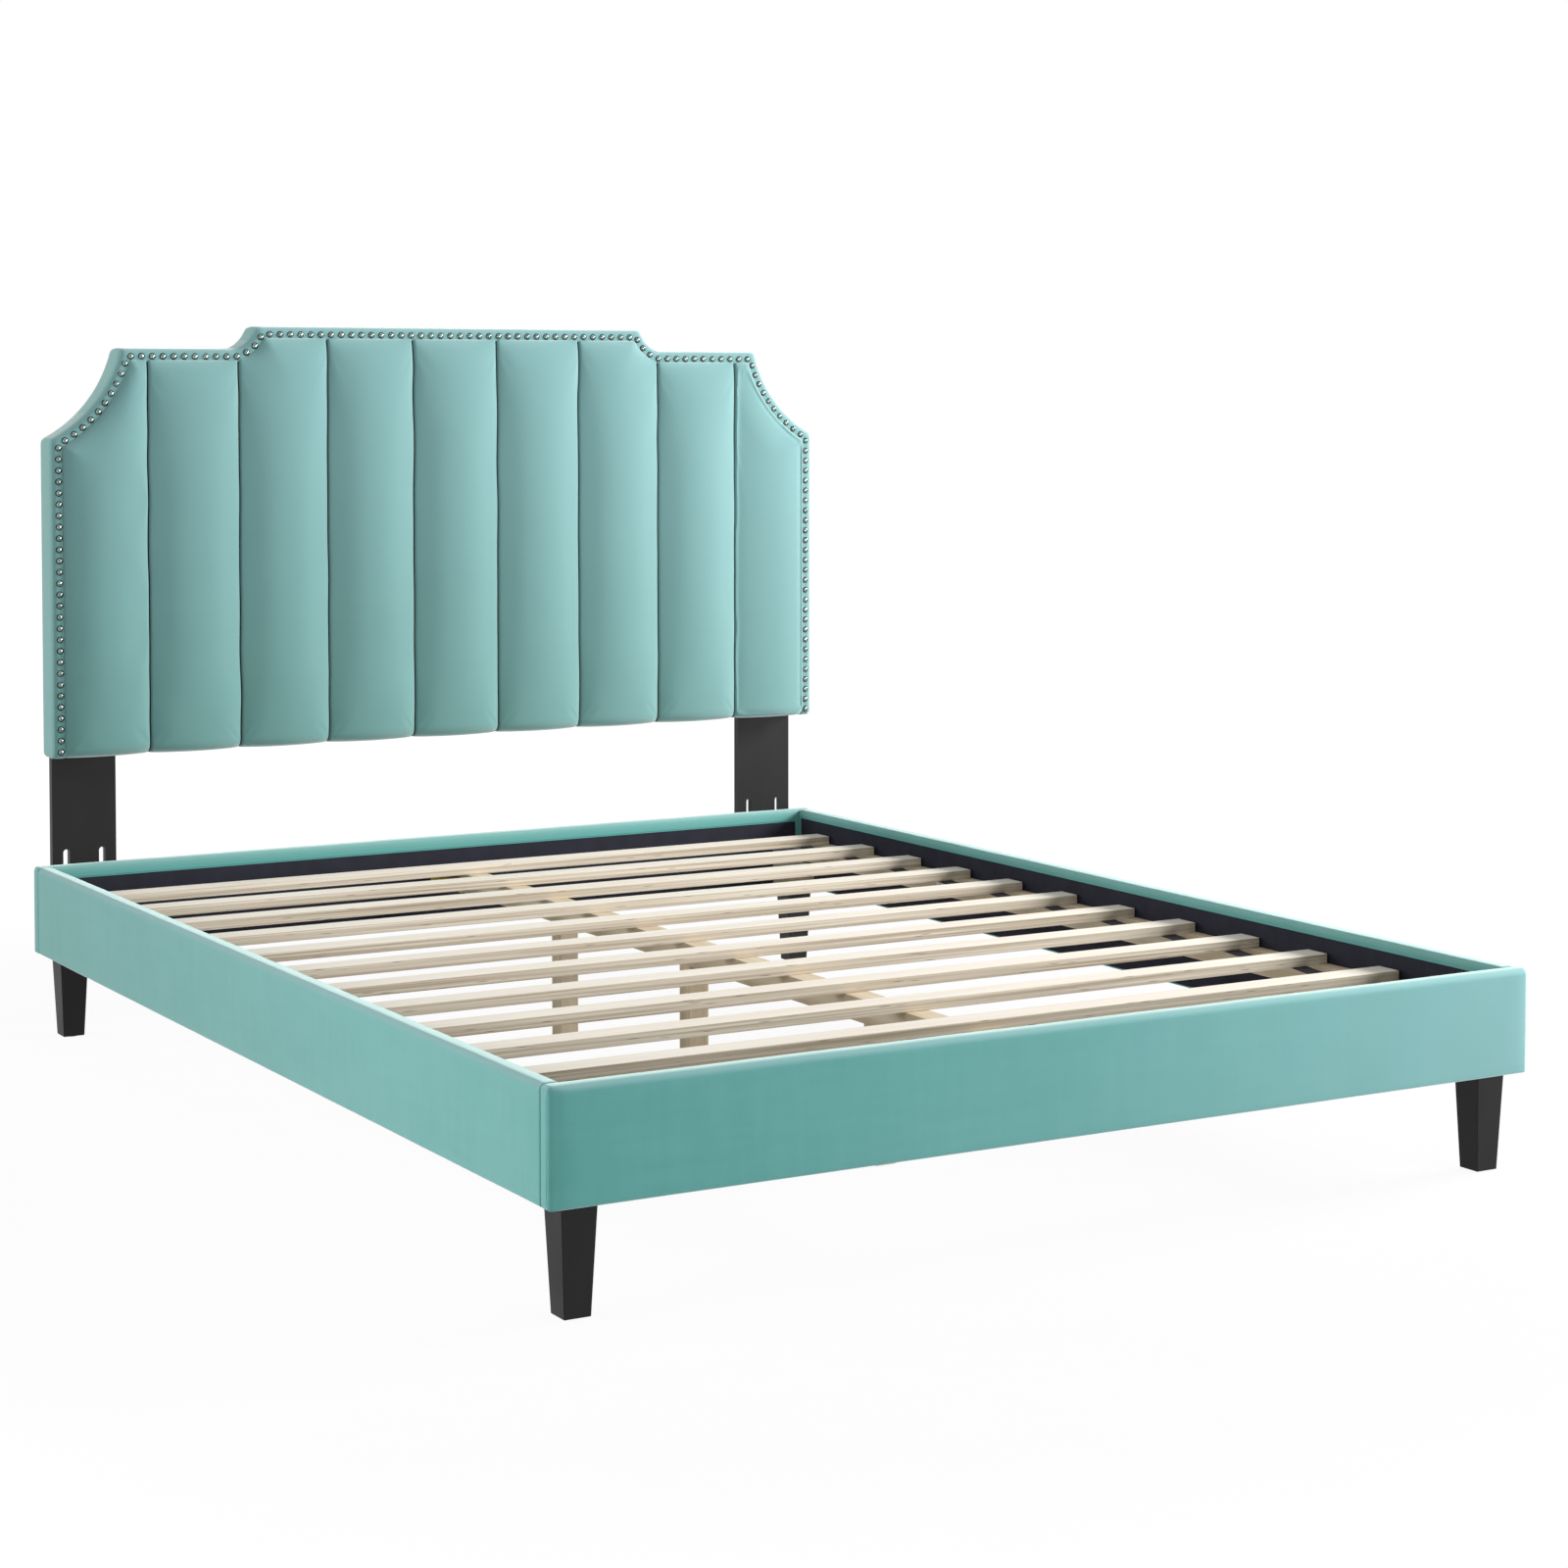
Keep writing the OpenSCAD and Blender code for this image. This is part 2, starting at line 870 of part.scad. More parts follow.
// Domed nail heads, evenly spaced up one side, over the crest and down the other
module nailhead_trim() {
  path = whole_edge(nail_inset, nail_start, 12);
  runs = run_to(path, len(path) - 1);
  total = runs[len(runs) - 1];
  count = round(total / nail_pitch);
  dome_r = (pow(nail_d / 2, 2) + pow(nail_h, 2)) / (2 * nail_h);
  color("silver")
    for (i = [0:count])
      let (p = at_length(path, runs, total * i / count))
        translate([p[0], hb_back_y - hb_depth, p[1]])
          rotate([90, 0, 0])
            intersection() {
              translate([0, 0, nail_h - dome_r])
                sphere(dome_r, $fn = 24);
              cylinder(r = nail_d, h = nail_h + cut);
            }
}

// ---- Struts ----

module strut(side) {
  color("dimgray")
    difference() {
      translate([side * strut_x - strut_w / 2, hb_back_y, strut_z])
        cube([strut_w, strut_t, strut_top - strut_z]);
      for (s = SIDES)
        translate([side * strut_x + s * slot_pitch / 2, hb_back_y, 0])
          strut_slot();
      at_strut_screws()
        rod_y(strut_screw_r + drill_clear, -strut_t - cut, cut);
    }
}

// Slot through a strut's thickness, with round ends
module strut_slot() {
  low = slot_top - slot_l + slot_w / 2;
  high = slot_top - slot_w / 2;
  for (z = [low, high])
    translate([0, 0, z])
      rod_y(slot_w / 2, -cut, strut_t + cut);
  translate([-slot_w / 2, -cut, low])
    cube([slot_w, strut_t + 2 * cut, high - low]);
}

module strut_screws() {
  color("silver")
    at_strut_screws() {
      rod_y(strut_screw_r, -strut_t - backing_t - strut_screw_in, cut);
      rod_y(strut_screw_head[0], 0, strut_screw_head[1]);
    }
}

// Hexagonal bolts, washers and tee nuts that clamp the struts to the head rail
module strut_clamp_bolts() {
  washer_y = slide_clear + strut_t + slide_clear;
  nut_y = -rail_t + lining_t;
  color("silver")
    at_clamps() {
      translate([0, washer_y + washer_t, 0])
        rotate([-90, 0, 0])
          cylinder(r = clamp_head_r, h = clamp_head_h, $fn = 6);
      rod_y(clamp_d / 2, nut_y, washer_y + washer_t + cut);
      translate([0, washer_y, 0])
        difference() {
          rod_y(washer_r, 0, washer_t);
          rod_y(clamp_d / 2 + drill_clear, -cut, washer_t + cut);
        }
      translate([0, nut_y, 0])
        difference() {
          rod_y(tee_nut_r, 0, tee_nut_l);
          rod_y(clamp_d / 2 + drill_clear, -cut, tee_nut_l + cut);
        }
    }
}

// ---- Nodes ----

foot_rail_board();
foot_rail_cover();
foot_rail_lining();
head_rail_board();
head_rail_cover();
head_rail_lining();
left_rail_board();
left_rail_cover();
left_rail_lining();
right_rail_board();
right_rail_cover();
right_rail_lining();
ledger(-1);  // left_ledger
ledger(1);  // right_ledger
ledger_screws();
corner_blocks();
corner_brackets();
corner_bolts();
leg(-leg_x, leg_foot_y);  // leg_foot_left
leg(leg_x, leg_foot_y);  // leg_foot_right
leg(-leg_x, leg_head_y);  // leg_head_left
leg(leg_x, leg_head_y);  // leg_head_right
leg_bolts();
glides();
centre_beam();
beam_hangers();
centre_post(post_ys[0]);  // post_foot
centre_post(post_ys[1]);  // post_middle
centre_post(post_ys[2]);  // post_head
for (i = [0:SLATS - 1])
  slat(i);
slat_webbing();
strut_clamp_bolts();
headboard_panel();
headboard_border();
headboard_backing();
for (i = [0:CHANNELS - 1])
  channel(i);
nailhead_trim();
strut(-1);  // left_strut
strut(1);  // right_strut
strut_screws();
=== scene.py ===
import math
from contextlib import contextmanager
from functools import wraps

import bmesh
import bpy
import numpy as np
from bpy.props import FloatProperty, FloatVectorProperty, IntProperty, PointerProperty
from bpy.types import Operator, Panel, PropertyGroup
from mathutils import Matrix, Vector, noise


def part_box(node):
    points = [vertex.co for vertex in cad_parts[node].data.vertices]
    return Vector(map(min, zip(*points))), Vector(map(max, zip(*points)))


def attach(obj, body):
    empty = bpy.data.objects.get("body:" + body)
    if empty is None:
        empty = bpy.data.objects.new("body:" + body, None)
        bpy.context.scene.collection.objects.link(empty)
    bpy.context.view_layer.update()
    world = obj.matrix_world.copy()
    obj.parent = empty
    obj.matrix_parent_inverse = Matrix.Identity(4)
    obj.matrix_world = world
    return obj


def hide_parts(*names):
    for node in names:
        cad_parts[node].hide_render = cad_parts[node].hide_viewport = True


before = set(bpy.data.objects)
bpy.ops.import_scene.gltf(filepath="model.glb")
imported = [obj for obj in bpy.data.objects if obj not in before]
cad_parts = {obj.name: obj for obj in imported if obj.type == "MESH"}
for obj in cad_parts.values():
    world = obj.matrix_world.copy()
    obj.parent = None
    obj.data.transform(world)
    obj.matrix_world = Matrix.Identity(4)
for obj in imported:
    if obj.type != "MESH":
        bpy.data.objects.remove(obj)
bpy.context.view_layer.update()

bl_info = {
    "name": "Upholstered headboard bed",
    "version": (1, 0, 0),
    "blender": (4, 5, 0),
    "location": "3D View > Sidebar > Bed",
    "description": "Upholsters and finishes a packed bed frame, piece by piece",
    "category": "Object",
}

BASE = "base"
HEADBOARD = "headboard"
SIDES = (-1, 1)
SLATS = 12
CHANNELS = 9
# How far a sheet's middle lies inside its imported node's face, and the sheets' thicknesses
SHEET_DEPTH = 0.0009
CLOTH_THICKNESS = 0.0006
STRAP_THICKNESS = 0.0014
STRAP_WIDTH = 0.028
# Points closer than this are one point
SAME_PLACE = 1e-6


# ---- Colours and sizes that a user would change ----


def linear(text):
    """Turns an sRGB hex colour into the linear one that shaders take."""
    found = [int(text[i : i + 2], 16) / 255 for i in (0, 2, 4)]
    curved = [c / 12.92 if c <= 0.04045 else ((c + 0.055) / 1.055) ** 2.4 for c in found]
    return (*curved, 1.0)


def length(name, description, default):
    """A size in metres, shown in the sidebar."""
    return FloatProperty(
        name=name, description=description, default=default, unit="LENGTH", subtype="DISTANCE"
    )


def colour(name, description, text):
    """A colour, shown in the sidebar and given as sRGB hex."""
    return FloatVectorProperty(
        name=name, description=description, default=linear(text), size=4, min=0, max=1, subtype="COLOR"
    )


class RailSettings(PropertyGroup):
    """Upholstery of the four rails."""

    edge: length("Edge rounding", "Rounding of the velvet along a rail's outer edges", 0.009)
    lower_edge: length("Lower rounding", "Rounding of the velvet along a rail's lower outer edge", 0.0045)
    inner_edge: length("Inner rounding", "Rounding of the velvet along a rail's inner edges", 0.005)
    corner: length("Corner rounding", "Rounding of the velvet on the bed's corners", 0.006)
    turn_width: length("Corner turn", "How wide the velvet turns away before a corner", 0.024)
    turn_depth: length("Corner turn depth", "How deep it turns away there", 0.0052)
    seam: length("Seam rounding", "Rounding of the velvet on both sides of a corner seam", 0.0034)
    crown: length("Crown", "How far the padding swells over a rail's outer face", 0.0015)
    top_crown: length("Top crown", "How far it swells over a rail's top", 0.0012)
    side_turn_in: length("Side turn-in", "Velvet turned down inside a side rail", 0.010)
    end_turn_in: length("End turn-in", "Velvet turned down inside the head and foot rails", 0.020)
    lining_lift: length("Lining lift", "Height of the lining's lower edge over the rail's", 0.0035)
    corner_strip: length("Corner strip", "Velvet left beside each inner corner", 0.008)
    recess: length("Recess", "How deep the lining lies under the velvet", 0.0012)


class HeadboardSettings(PropertyGroup):
    """Outline and padding of the headboard."""

    scoop_width: length("Scoop width", "Width of the large side scoop", 0.130)
    scoop_height: length("Scoop height", "Height of the large side scoop", 0.162)
    scoop_radius: length("Scoop radius", "Radius of the large side scoop", 0.243)
    shoulder: length("Shoulder", "Width of the level shoulder", 0.214)
    notch_width: length("Notch width", "Width of the notch under the crest", 0.042)
    notch_height: length("Notch height", "Height of the notch under the crest", 0.041)
    notch_radius: length("Notch radius", "Radius of the notch under the crest", 0.060)
    border: length("Border", "Width of the band that carries the nails", 0.0205)
    channel_edge: length(
        "Channel margin", "From the headboard's side to the outer channels' nominal edge", 0.006
    )
    crown: length("Crown", "How far a channel swells over its seams", 0.016)
    seam_depth: length("Seam depth", "How deep a seam pulls in between two channels", 0.012)
    seam_width: length("Seam width", "Half width of the groove at a seam", 0.0014)
    bottom_roll: length("Bottom roll", "Rounding of the channels round the lower edge", 0.019)
    nail_inset: length("Nail inset", "Distance of the nails' row from the edge", 0.014)
    nail_pitch: length("Nail pitch", "Distance from nail to nail", 0.020)
    nail_start: length("Nail start", "Height of the lowest nail over the lower edge", 0.012)
    nail_width: length("Nail width", "Width of a nail's head", 0.0128)


class TimberSettings(PropertyGroup):
    """Edges of the wooden pieces, and the webbing under the slats."""

    slat_edge: length("Slat edge", "Rounding of a slat's edges", 0.0012)
    leg_edge: length("Leg edge", "Rounding of a leg's edges", 0.0012)
    strut_edge: length("Strut edge", "Rounding of a strut's edges", 0.0010)
    strap_sag: length("Strap sag", "How far the webbing sags between two slats", 0.003)


class ColourSettings(PropertyGroup):
    """Colours of the bed's materials."""

    velvet: colour("Rail velvet", "Dyed velvet on the rails, its pile brushed down", "5AA29D")
    velvet_nap: colour("Rail velvet nap", "The same where hands have brushed the pile", "67ADA8")
    # The pale rail and headboard colours are painted light, mixed in where a mesh's nap attribute says
    velvet_pale: colour("Pale rail velvet", "The same where its pile is brushed right up", "78A6A7")
    # Painted highlight: the pale colour put where the velvet faces up or out to a side
    velvet_over: colour("Velvet over an edge", "Velvet stretched round an edge, its pile open", "80ADA9")
    # Painted shade: the base of a copy with little sheen, for the faces inside a rail
    velvet_turned: colour("Turned velvet", "Velvet turned down inside a rail, against its pile", "62A29D")
    # Painted shade: the dark colour in the seams' grooves
    velvet_sewn: colour("Sewn velvet", "Velvet crushed into a seam", "0E4440")
    velvet_up: colour("Headboard velvet", "Dyed velvet on the headboard, its pile brushed up", "588885")
    velvet_up_nap: colour("Headboard velvet nap", "The same where hands have brushed the pile", "62928F")
    velvet_up_pale: colour("Pale headboard velvet", "The same high up, its pile full open", "729FA0")
    lining: colour("Lining", "Dust cloth inside the rails and on the back", "1D1D27")
    webbing: colour("Webbing", "Slat webbing", "17141B")
    slat_face: colour("Slat face", "Sanded face of a slat", "E7E2D9")
    slat_edge: colour("Slat edge", "Sawn edge of a slat, across its layers", "EBE1D0")
    pine: colour("Pine", "Planed softwood of the underframe", "D2C4AC")
    plywood: colour("Plywood", "Raw plywood", "C9A877")
    black: colour("Black finish", "Sprayed finish of legs and struts", "131313")
    nickel: colour("Nickel", "Plated nail heads", "93A39F")
    zinc: colour("Zinc", "Plated screws and brackets", "B4B6B8")
    yellow_zinc: colour("Yellow zinc", "Passivated beam hangers", "B39C4F")
    plastic: colour("Plastic", "Moulded glides", "222222")
    floor: colour("Floor", "Plain floor", "A4A4A4")


class StageSettings(PropertyGroup):
    """Camera and light."""

    lens: FloatProperty(name="Lens", description="Focal length in millimetres", default=73.56)
    turn: FloatProperty(name="Turn", description="Camera's heading, in degrees right of +Y", default=30.2)
    tilt: FloatProperty(name="Tilt", description="Camera's tilt below the horizon, in degrees", default=2.5)
    shift: FloatProperty(name="Shift", description="Vertical lens shift", default=-0.164)
    place: FloatVectorProperty(
        name="Place", description="Camera's place", default=(-2.5046, -4.55925, 1.1572), subtype="TRANSLATION"
    )
    seed: IntProperty(name="Seed", description="Start of the pattern of small irregularities", default=7)


def settings(group):
    return getattr(bpy.context.scene, "bed_" + group)


def dye(name):
    return tuple(getattr(settings("colours"), name))


# ---- Working in Blender as by hand ----


def deselect():
    if bpy.context.object and bpy.context.object.mode != "OBJECT":
        bpy.ops.object.mode_set(mode="OBJECT")
    bpy.ops.object.select_all(action="DESELECT")


def activate(obj):
    deselect()
    obj.select_set(True)
    bpy.context.view_layer.objects.active = obj
    return obj


@contextmanager
def editing(obj, mode="FACE"):
    """Opens a piece in edit mode with nothing selected, and closes it again."""
    activate(obj)
    bpy.ops.object.mode_set(mode="EDIT")
    bpy.ops.mesh.select_mode(type=mode)
    bpy.ops.mesh.select_all(action="DESELECT")
    yield obj
    bpy.ops.object.mode_set(mode="OBJECT")


def pick(obj, kind, test):
    """Selects the faces, edges or verts that pass a test, and nothing else."""
    bpy.ops.mesh.select_mode(type={"faces": "FACE", "edges": "EDGE", "verts": "VERT"}[kind])
    bpy.ops.mesh.select_all(action="DESELECT")
    mesh = bmesh.from_edit_mesh(obj.data)
    mesh.normal_update()
    found = [item for item in getattr(mesh, kind) if test(item)]
    for item in found:
        item.select_set(True)
    mesh.select_flush_mode()
    bmesh.update_edit_mesh(obj.data)
    return len(found)


def middle(item):
    return sum((v.co for v in item.verts), Vector()) / len(item.verts)


def along(edge, axis):
    """True for an edge that runs along an axis, 0 to 2."""
    run = edge.verts[1].co - edge.verts[0].co
    return abs(run[axis]) > 0.98 * run.length


def add_block(name, low, high):
    """A block with its place and size in its mesh."""
    deselect()
    bpy.ops.mesh.primitive_cube_add(size=1)
    obj = bpy.context.object
    obj.name = obj.data.name = name
    low, high = Vector(low), Vector(high)
    size = high - low
    obj.data.transform(Matrix.Translation((low + high) / 2) @ Matrix.Diagonal((*size, 1)))
    return obj


def add_grid(name, columns, rows, place):
    """A flat grid whose points then go where place(u, v) says, with u and v from 0 to 1."""
    deselect()
    bpy.ops.mesh.primitive_grid_add(x_subdivisions=columns, y_subdivisions=rows, size=2)
    obj = bpy.context.object
    obj.name = obj.data.name = name
    points = read_points(obj)
    put_points(obj, np.stack(place((points[:, 0] + 1) / 2, (points[:, 1] + 1) / 2), axis=1))
    return obj


def read_points(obj):
    points = np.empty(len(obj.data.vertices) * 3)
    obj.data.vertices.foreach_get("co", points)
    return points.reshape(-1, 3)


def put_points(obj, points):
    obj.data.vertices.foreach_set("co", np.asarray(points, dtype=float).ravel())
    obj.data.update()


def set_painted_light(obj, share):
    """Stores for each point how far its velvet's colour goes towards the paler one: painted light."""
    nap = obj.data.attributes.new("nap", "FLOAT", "POINT")
    nap.data.foreach_set("value", np.asarray(share, dtype=float))


def paint_light_up_and_right(obj):
    """Painted light: the velvet's colour goes paler towards the headboard's crest and towards its right."""
    low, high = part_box("headboard_border")
    x, _, z = read_points(obj).T
    set_painted_light(obj, np.clip((z - low[2]) / (high[2] - low[2]) + 0.4 * np.clip(x / high[0], 0, 1), 0, 1))


def close_shell(obj):
    """Joins a wrapped grid's edges, fills its open ends and turns its faces outwards."""
    with editing(obj, "VERT"):
        bpy.ops.mesh.select_all(action="SELECT")
        bpy.ops.mesh.remove_doubles(threshold=SAME_PLACE)
        bpy.ops.mesh.select_all(action="DESELECT")
        bpy.ops.mesh.select_non_manifold(extend=False)
        bpy.ops.mesh.fill_holes(sides=0)
        bpy.ops.mesh.select_all(action="SELECT")
        bpy.ops.mesh.normals_make_consistent(inside=False)


def face_outwards(obj):
    with editing(obj):
        bpy.ops.mesh.select_all(action="SELECT")
        bpy.ops.mesh.normals_make_consistent(inside=False)


def join(pieces, name):
    """Makes one piece of several."""
    activate(pieces[0])
    for piece in pieces[1:]:
        piece.select_set(True)
    bpy.ops.object.join()
    whole = bpy.context.object
    whole.name = whole.data.name = name
    return whole


def modify(obj, kind, **values):
    """Adds a modifier with its settings and applies it."""
    activate(obj)
    added = obj.modifiers.new(kind.title(), kind)
    for name, value in values.items():
        setattr(added, name, value)
    bpy.ops.object.modifier_apply(modifier=added.name)


def smooth(obj, degrees):
    activate(obj)
    bpy.ops.object.shade_smooth_by_angle(angle=math.radians(degrees))


def wander(x, y=0.0, z=0.0):
    """A smooth irregularity from -1 to 1 that is the same on every run."""
    shift = settings("stage").seed * 3.7
    return noise.noise(Vector((x + shift, y - shift, z + 2 * shift)))


def wander_all(points, wave):
    """The same for many points, with waves of about that length in metres."""
    return np.array([wander(*(p / wave)) for p in points])


def finish_piece(obj, body, slot, material, *nodes):
    """Gives a piece its material and body, and hides the nodes that it replaces."""
    obj.data.materials.clear()
    obj.data.materials.append(material)
    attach(obj, body)
    if nodes:
        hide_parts(*nodes)
    return obj


# ---- Materials ----


def put(tree, kind, inputs=None, **values):
    """Adds a node, sets it up, and gives each named input a value or a link."""
    made = tree.nodes.new("ShaderNode" + kind)
    for name, value in values.items():
        setattr(made, name, value)
    for socket, value in (inputs or {}).items():
        if isinstance(value, bpy.types.NodeSocket):
            tree.links.new(value, made.inputs[socket])
        else:
            made.inputs[socket].default_value = value
    return made


def once(maker):
    """Has a material made on the first call, and gives the same one after that."""
    names = {}

    @wraps(maker)
    def give(*words):
        if names.get(words, "") not in bpy.data.materials:
            names[words] = maker(*words).name
        return bpy.data.materials[names[words]]

    return give


def new_material(name, **constants):
    """A material with one shader, its fixed values, and Object coordinates."""
    made = bpy.data.materials.new(name)
    made.use_nodes = True
    tree = made.node_tree
    shader = tree.nodes["Principled BSDF"]
    for socket, value in constants.items():
        shader.inputs[socket.replace("_", " ")].default_value = value
    return made, tree, shader, put(tree, "TexCoord").outputs["Object"]


def brighter(tone, times):
    """The same colour, brighter by a factor, and white at most."""
    return (*(min(1, c * times) for c in tone[:3]), 1)


def between(share, first, second):
    """Inputs of a colour mix: the Mix node has one pair of sockets for each kind of value."""
    return {0: share, 6: first, 7: second}


def pattern(tree, where, scale, stretch=(1, 1, 1), detail=2.0, low=0.0, high=1.0):
    """A noise with features about 1/scale metres wide, spread over low to high."""
    place = put(tree, "Mapping", {"Vector": where, "Scale": tuple(scale * s for s in stretch)})
    found = put(tree, "TexNoise", {"Vector": place.outputs[0], "Scale": 1.0, "Detail": detail})
    limits = {"From Min": 0.3, "From Max": 0.7, "To Min": low, "To Max": high}
    return put(tree, "MapRange", {"Value": found.outputs["Fac"], **limits}).outputs[0]


# For each way that the pile lies: how strong its sheen is and how widely it spreads, then its
# colours where it rests, where hands have brushed it, and the paler one that paints light on it
PILES = {
    "down": (1.0, 0.48, "velvet", "velvet_nap", "velvet_pale"),
    "up": (1.0, 0.55, "velvet_up", "velvet_up_nap", "velvet_up_pale"),
    # Painted highlight: a paler copy with weaker sheen, on faces that look up and on the border's sides
    "over": (0.65, 0.45, "velvet_over", "velvet_over", "velvet_over"),
    # Painted shade: a copy with little sheen on the faces inside a rail, painted paler near the top
    "turned": (0.35, 0.4, "velvet_turned", "velvet", "velvet_over"),
    # Painted shade: a dark copy with little sheen in the seams' grooves
    "sewn": (0.1, 0.4, "velvet_sewn", "velvet_sewn", "velvet_sewn"),
}


@once
def velvet(pile):
    # Cut-pile polyester velvet: deep and matt seen straight on, and pale where the eye or the light
    # grazes the pile, with faint marks where hands have brushed it. The headboard's pile is brushed
    # up and scatters light more widely than the rails'. The tufts stand a fraction of a millimetre
    # apart, so they are drawn coarser, at about 1.5 mm, to show as a soft fuzz.
    weight, spread, *dyes = PILES[pile]
    rest, nap, pale = (dye(name) for name in dyes)
    material, tree, shader, where = new_material(
        f"cut-pile velvet, pile {pile}",
        Roughness=0.95,
        Specular_IOR_Level=0.08,
        Sheen_Weight=weight,
        Sheen_Roughness=spread,
        Sheen_Tint=linear("EEFBF9"),
    )
    mark = 0.3 if pile == "down" else 0.1
    marks = pattern(tree, where, 5.0, (1, 1, 1.4), 2.0, 0.0, 0.4)
    for scale, stretch in ((60, (1, 1, 0.15)), (70, (0.14, 0.14, 1))):
        strokes = pattern(tree, where, scale, stretch, 2.0, 0.0, mark)
        marks = put(tree, "Math", {0: marks, 1: strokes}, operation="ADD").outputs[0]
    marked = put(tree, "Mix", between(marks, rest, nap), data_type="RGBA").outputs[2]
    # Each mesh's nap attribute says how far the colour goes towards the paler one: painted light
    painted_light_share = put(tree, "Attribute", attribute_name="nap").outputs["Fac"]
    tone = put(tree, "Mix", between(painted_light_share, marked, pale), data_type="RGBA").outputs[2]
    tree.links.new(tone, shader.inputs["Base Color"])
    fuzz = put(tree, "Bump", {"Height": pattern(tree, where, 700), "Strength": 0.12, "Distance": 0.0004})
    soft = pattern(tree, where, 9, (1, 1, 0.6), 2.0)
    crush = put(
        tree, "Bump", {"Height": soft, "Strength": 0.15, "Distance": 0.002, "Normal": fuzz.outputs[0]}
    )
    tree.links.new(crush.outputs[0], shader.inputs["Normal"])
    return material


@once
def dust_cloth():
    # Dark spun-bonded dust cloth: matt, thin, with the faint dimples of its bonding, 2.4 mm apart.
    material, tree, shader, where = new_material(
        "spun-bonded dust cloth", Roughness=0.88, Specular_IOR_Level=0.25
    )
    base = dye("lining")
    clouds = pattern(tree, where, 30, (1, 1, 1), 3.0)
    tone = put(tree, "Mix", between(clouds, base, brighter(base, 1.5)), data_type="RGBA")
    tree.links.new(tone.outputs[2], shader.inputs["Base Color"])
    dimples = put(tree, "TexVoronoi", {"Vector": where, "Scale": 420.0}).outputs["Distance"]
    bump = put(tree, "Bump", {"Height": dimples, "Strength": 0.25, "Distance": 0.0004})
    tree.links.new(bump.outputs[0], shader.inputs["Normal"])
    return material


@once
def webbing_cloth():
    # Flat polypropylene webbing: near black, with ribs across its length, drawn 5 mm apart to show.
    material, tree, shader, where = new_material("woven webbing", Roughness=0.7, Specular_IOR_Level=0.3)
    base = dye("webbing")
    wave = put(tree, "TexWave", {"Vector": where, "Scale": 62.0, "Distortion": 0.6}, bands_direction="Y")
    ribs = wave.outputs["Fac"]
    tone = put(tree, "Mix", between(ribs, base, brighter(base, 1.7)), data_type="RGBA")
    tree.links.new(tone.outputs[2], shader.inputs["Base Color"])
    bump = put(tree, "Bump", {"Height": ribs, "Strength": 0.4, "Distance": 0.0004})
    tree.links.new(bump.outputs[0], shader.inputs["Normal"])
    return material


@once
def slat_lumber():
    # Laminated poplar slats: pale sanded faces with a faint long grain, and tan edges that show
    # the layers as thin darker lines 3 to 4 mm apart, with small dark knots and gaps.
    material, tree, shader, where = new_material("laminated poplar", Roughness=0.7, Specular_IOR_Level=0.3)
    upright = put(tree, "SeparateXYZ", {0: put(tree, "NewGeometry").outputs["Normal"]})
    flat = put(tree, "Math", {0: upright.outputs["Z"]}, operation="ABSOLUTE").outputs[0]
    on_face = put(tree, "MapRange", {"Value": flat, "From Min": 0.6, "From Max": 0.9}).outputs[0]
    grain = pattern(tree, where, 90, (0.035, 1, 1), 3.0)
    layers = pattern(tree, where, 280, (0.006, 0.2, 1), 3.0)
    broad = pattern(tree, where, 7, (0.3, 1, 1), 2.0)
    tones = []
    for lines, base, dark, cast, strength in (
        (grain, dye("slat_face"), "E0D6C8", "E4DACB", 0.35),
        (layers, dye("slat_edge"), "9C8A70", "D8CDBA", 0.4),
    ):
        tone = put(tree, "Mix", between(lines, base, linear(dark)), data_type="RGBA").outputs[2]
        share = put(tree, "Math", {0: broad, 1: strength}, operation="MULTIPLY").outputs[0]
        tones.append(put(tree, "Mix", between(share, tone, linear(cast)), data_type="RGBA").outputs[2])
    pale, tan = tones
    spots = put(tree, "Mapping", {"Vector": where, "Scale": (11, 50, 240)}).outputs[0]
    specks = put(tree, "TexVoronoi", {"Vector": spots, "Scale": 1.0}).outputs["Distance"]
    limits = {"From Min": 0.07, "From Max": 0.15, "To Min": 0.8, "To Max": 0.0}
    dark = put(tree, "MapRange", {"Value": specks, **limits}).outputs[0]
    tan = put(tree, "Mix", between(dark, tan, linear("5A4630")), data_type="RGBA").outputs[2]
    tone = put(tree, "Mix", between(on_face, tan, pale), data_type="RGBA").outputs[2]
    tree.links.new(tone, shader.inputs["Base Color"])
    bump = put(tree, "Bump", {"Height": grain, "Strength": 0.12, "Distance": 0.0004})
    tree.links.new(bump.outputs[0], shader.inputs["Normal"])
    return material


def planed_timber(name, base, stretch, dark, scale=55):
    """Softwood whose growth lines run along the axis that stretch shrinks."""
    material, tree, shader, where = new_material(name, Roughness=0.68, Specular_IOR_Level=0.3)
    lines = pattern(tree, where, scale, stretch, 3.0)
    broad = pattern(tree, where, 8, stretch, 2.0, 0.0, 0.5)
    lined = put(tree, "Mix", between(lines, base, linear(dark)), data_type="RGBA").outputs[2]
    tone = put(tree, "Mix", between(broad, lined, brighter(base, 1.12)), data_type="RGBA")
    tree.links.new(tone.outputs[2], shader.inputs["Base Color"])
    bump = put(tree, "Bump", {"Height": lines, "Strength": 0.15, "Distance": 0.0004})
    tree.links.new(bump.outputs[0], shader.inputs["Normal"])
    return material


@once
def timber_along_y():
    # Planed pine, cut along the bed: straight growth lines, some fine and some up to 18 mm wide.
    return planed_timber("planed pine along the bed", dye("pine"), (1, 0.04, 1), "BCA785")


@once
def timber_upright():
    # Planed pine standing on end: the same lines, running up the posts.
    return planed_timber("planed pine on end", dye("pine"), (1, 1, 0.04), "BCA785")


@once
def raw_plywood():
    # Raw plywood: tan veneer with long soft figure. It is nearly all covered.
    return planed_timber("raw plywood", dye("plywood"), (0.05, 0.4, 1), "B28F60", 30)


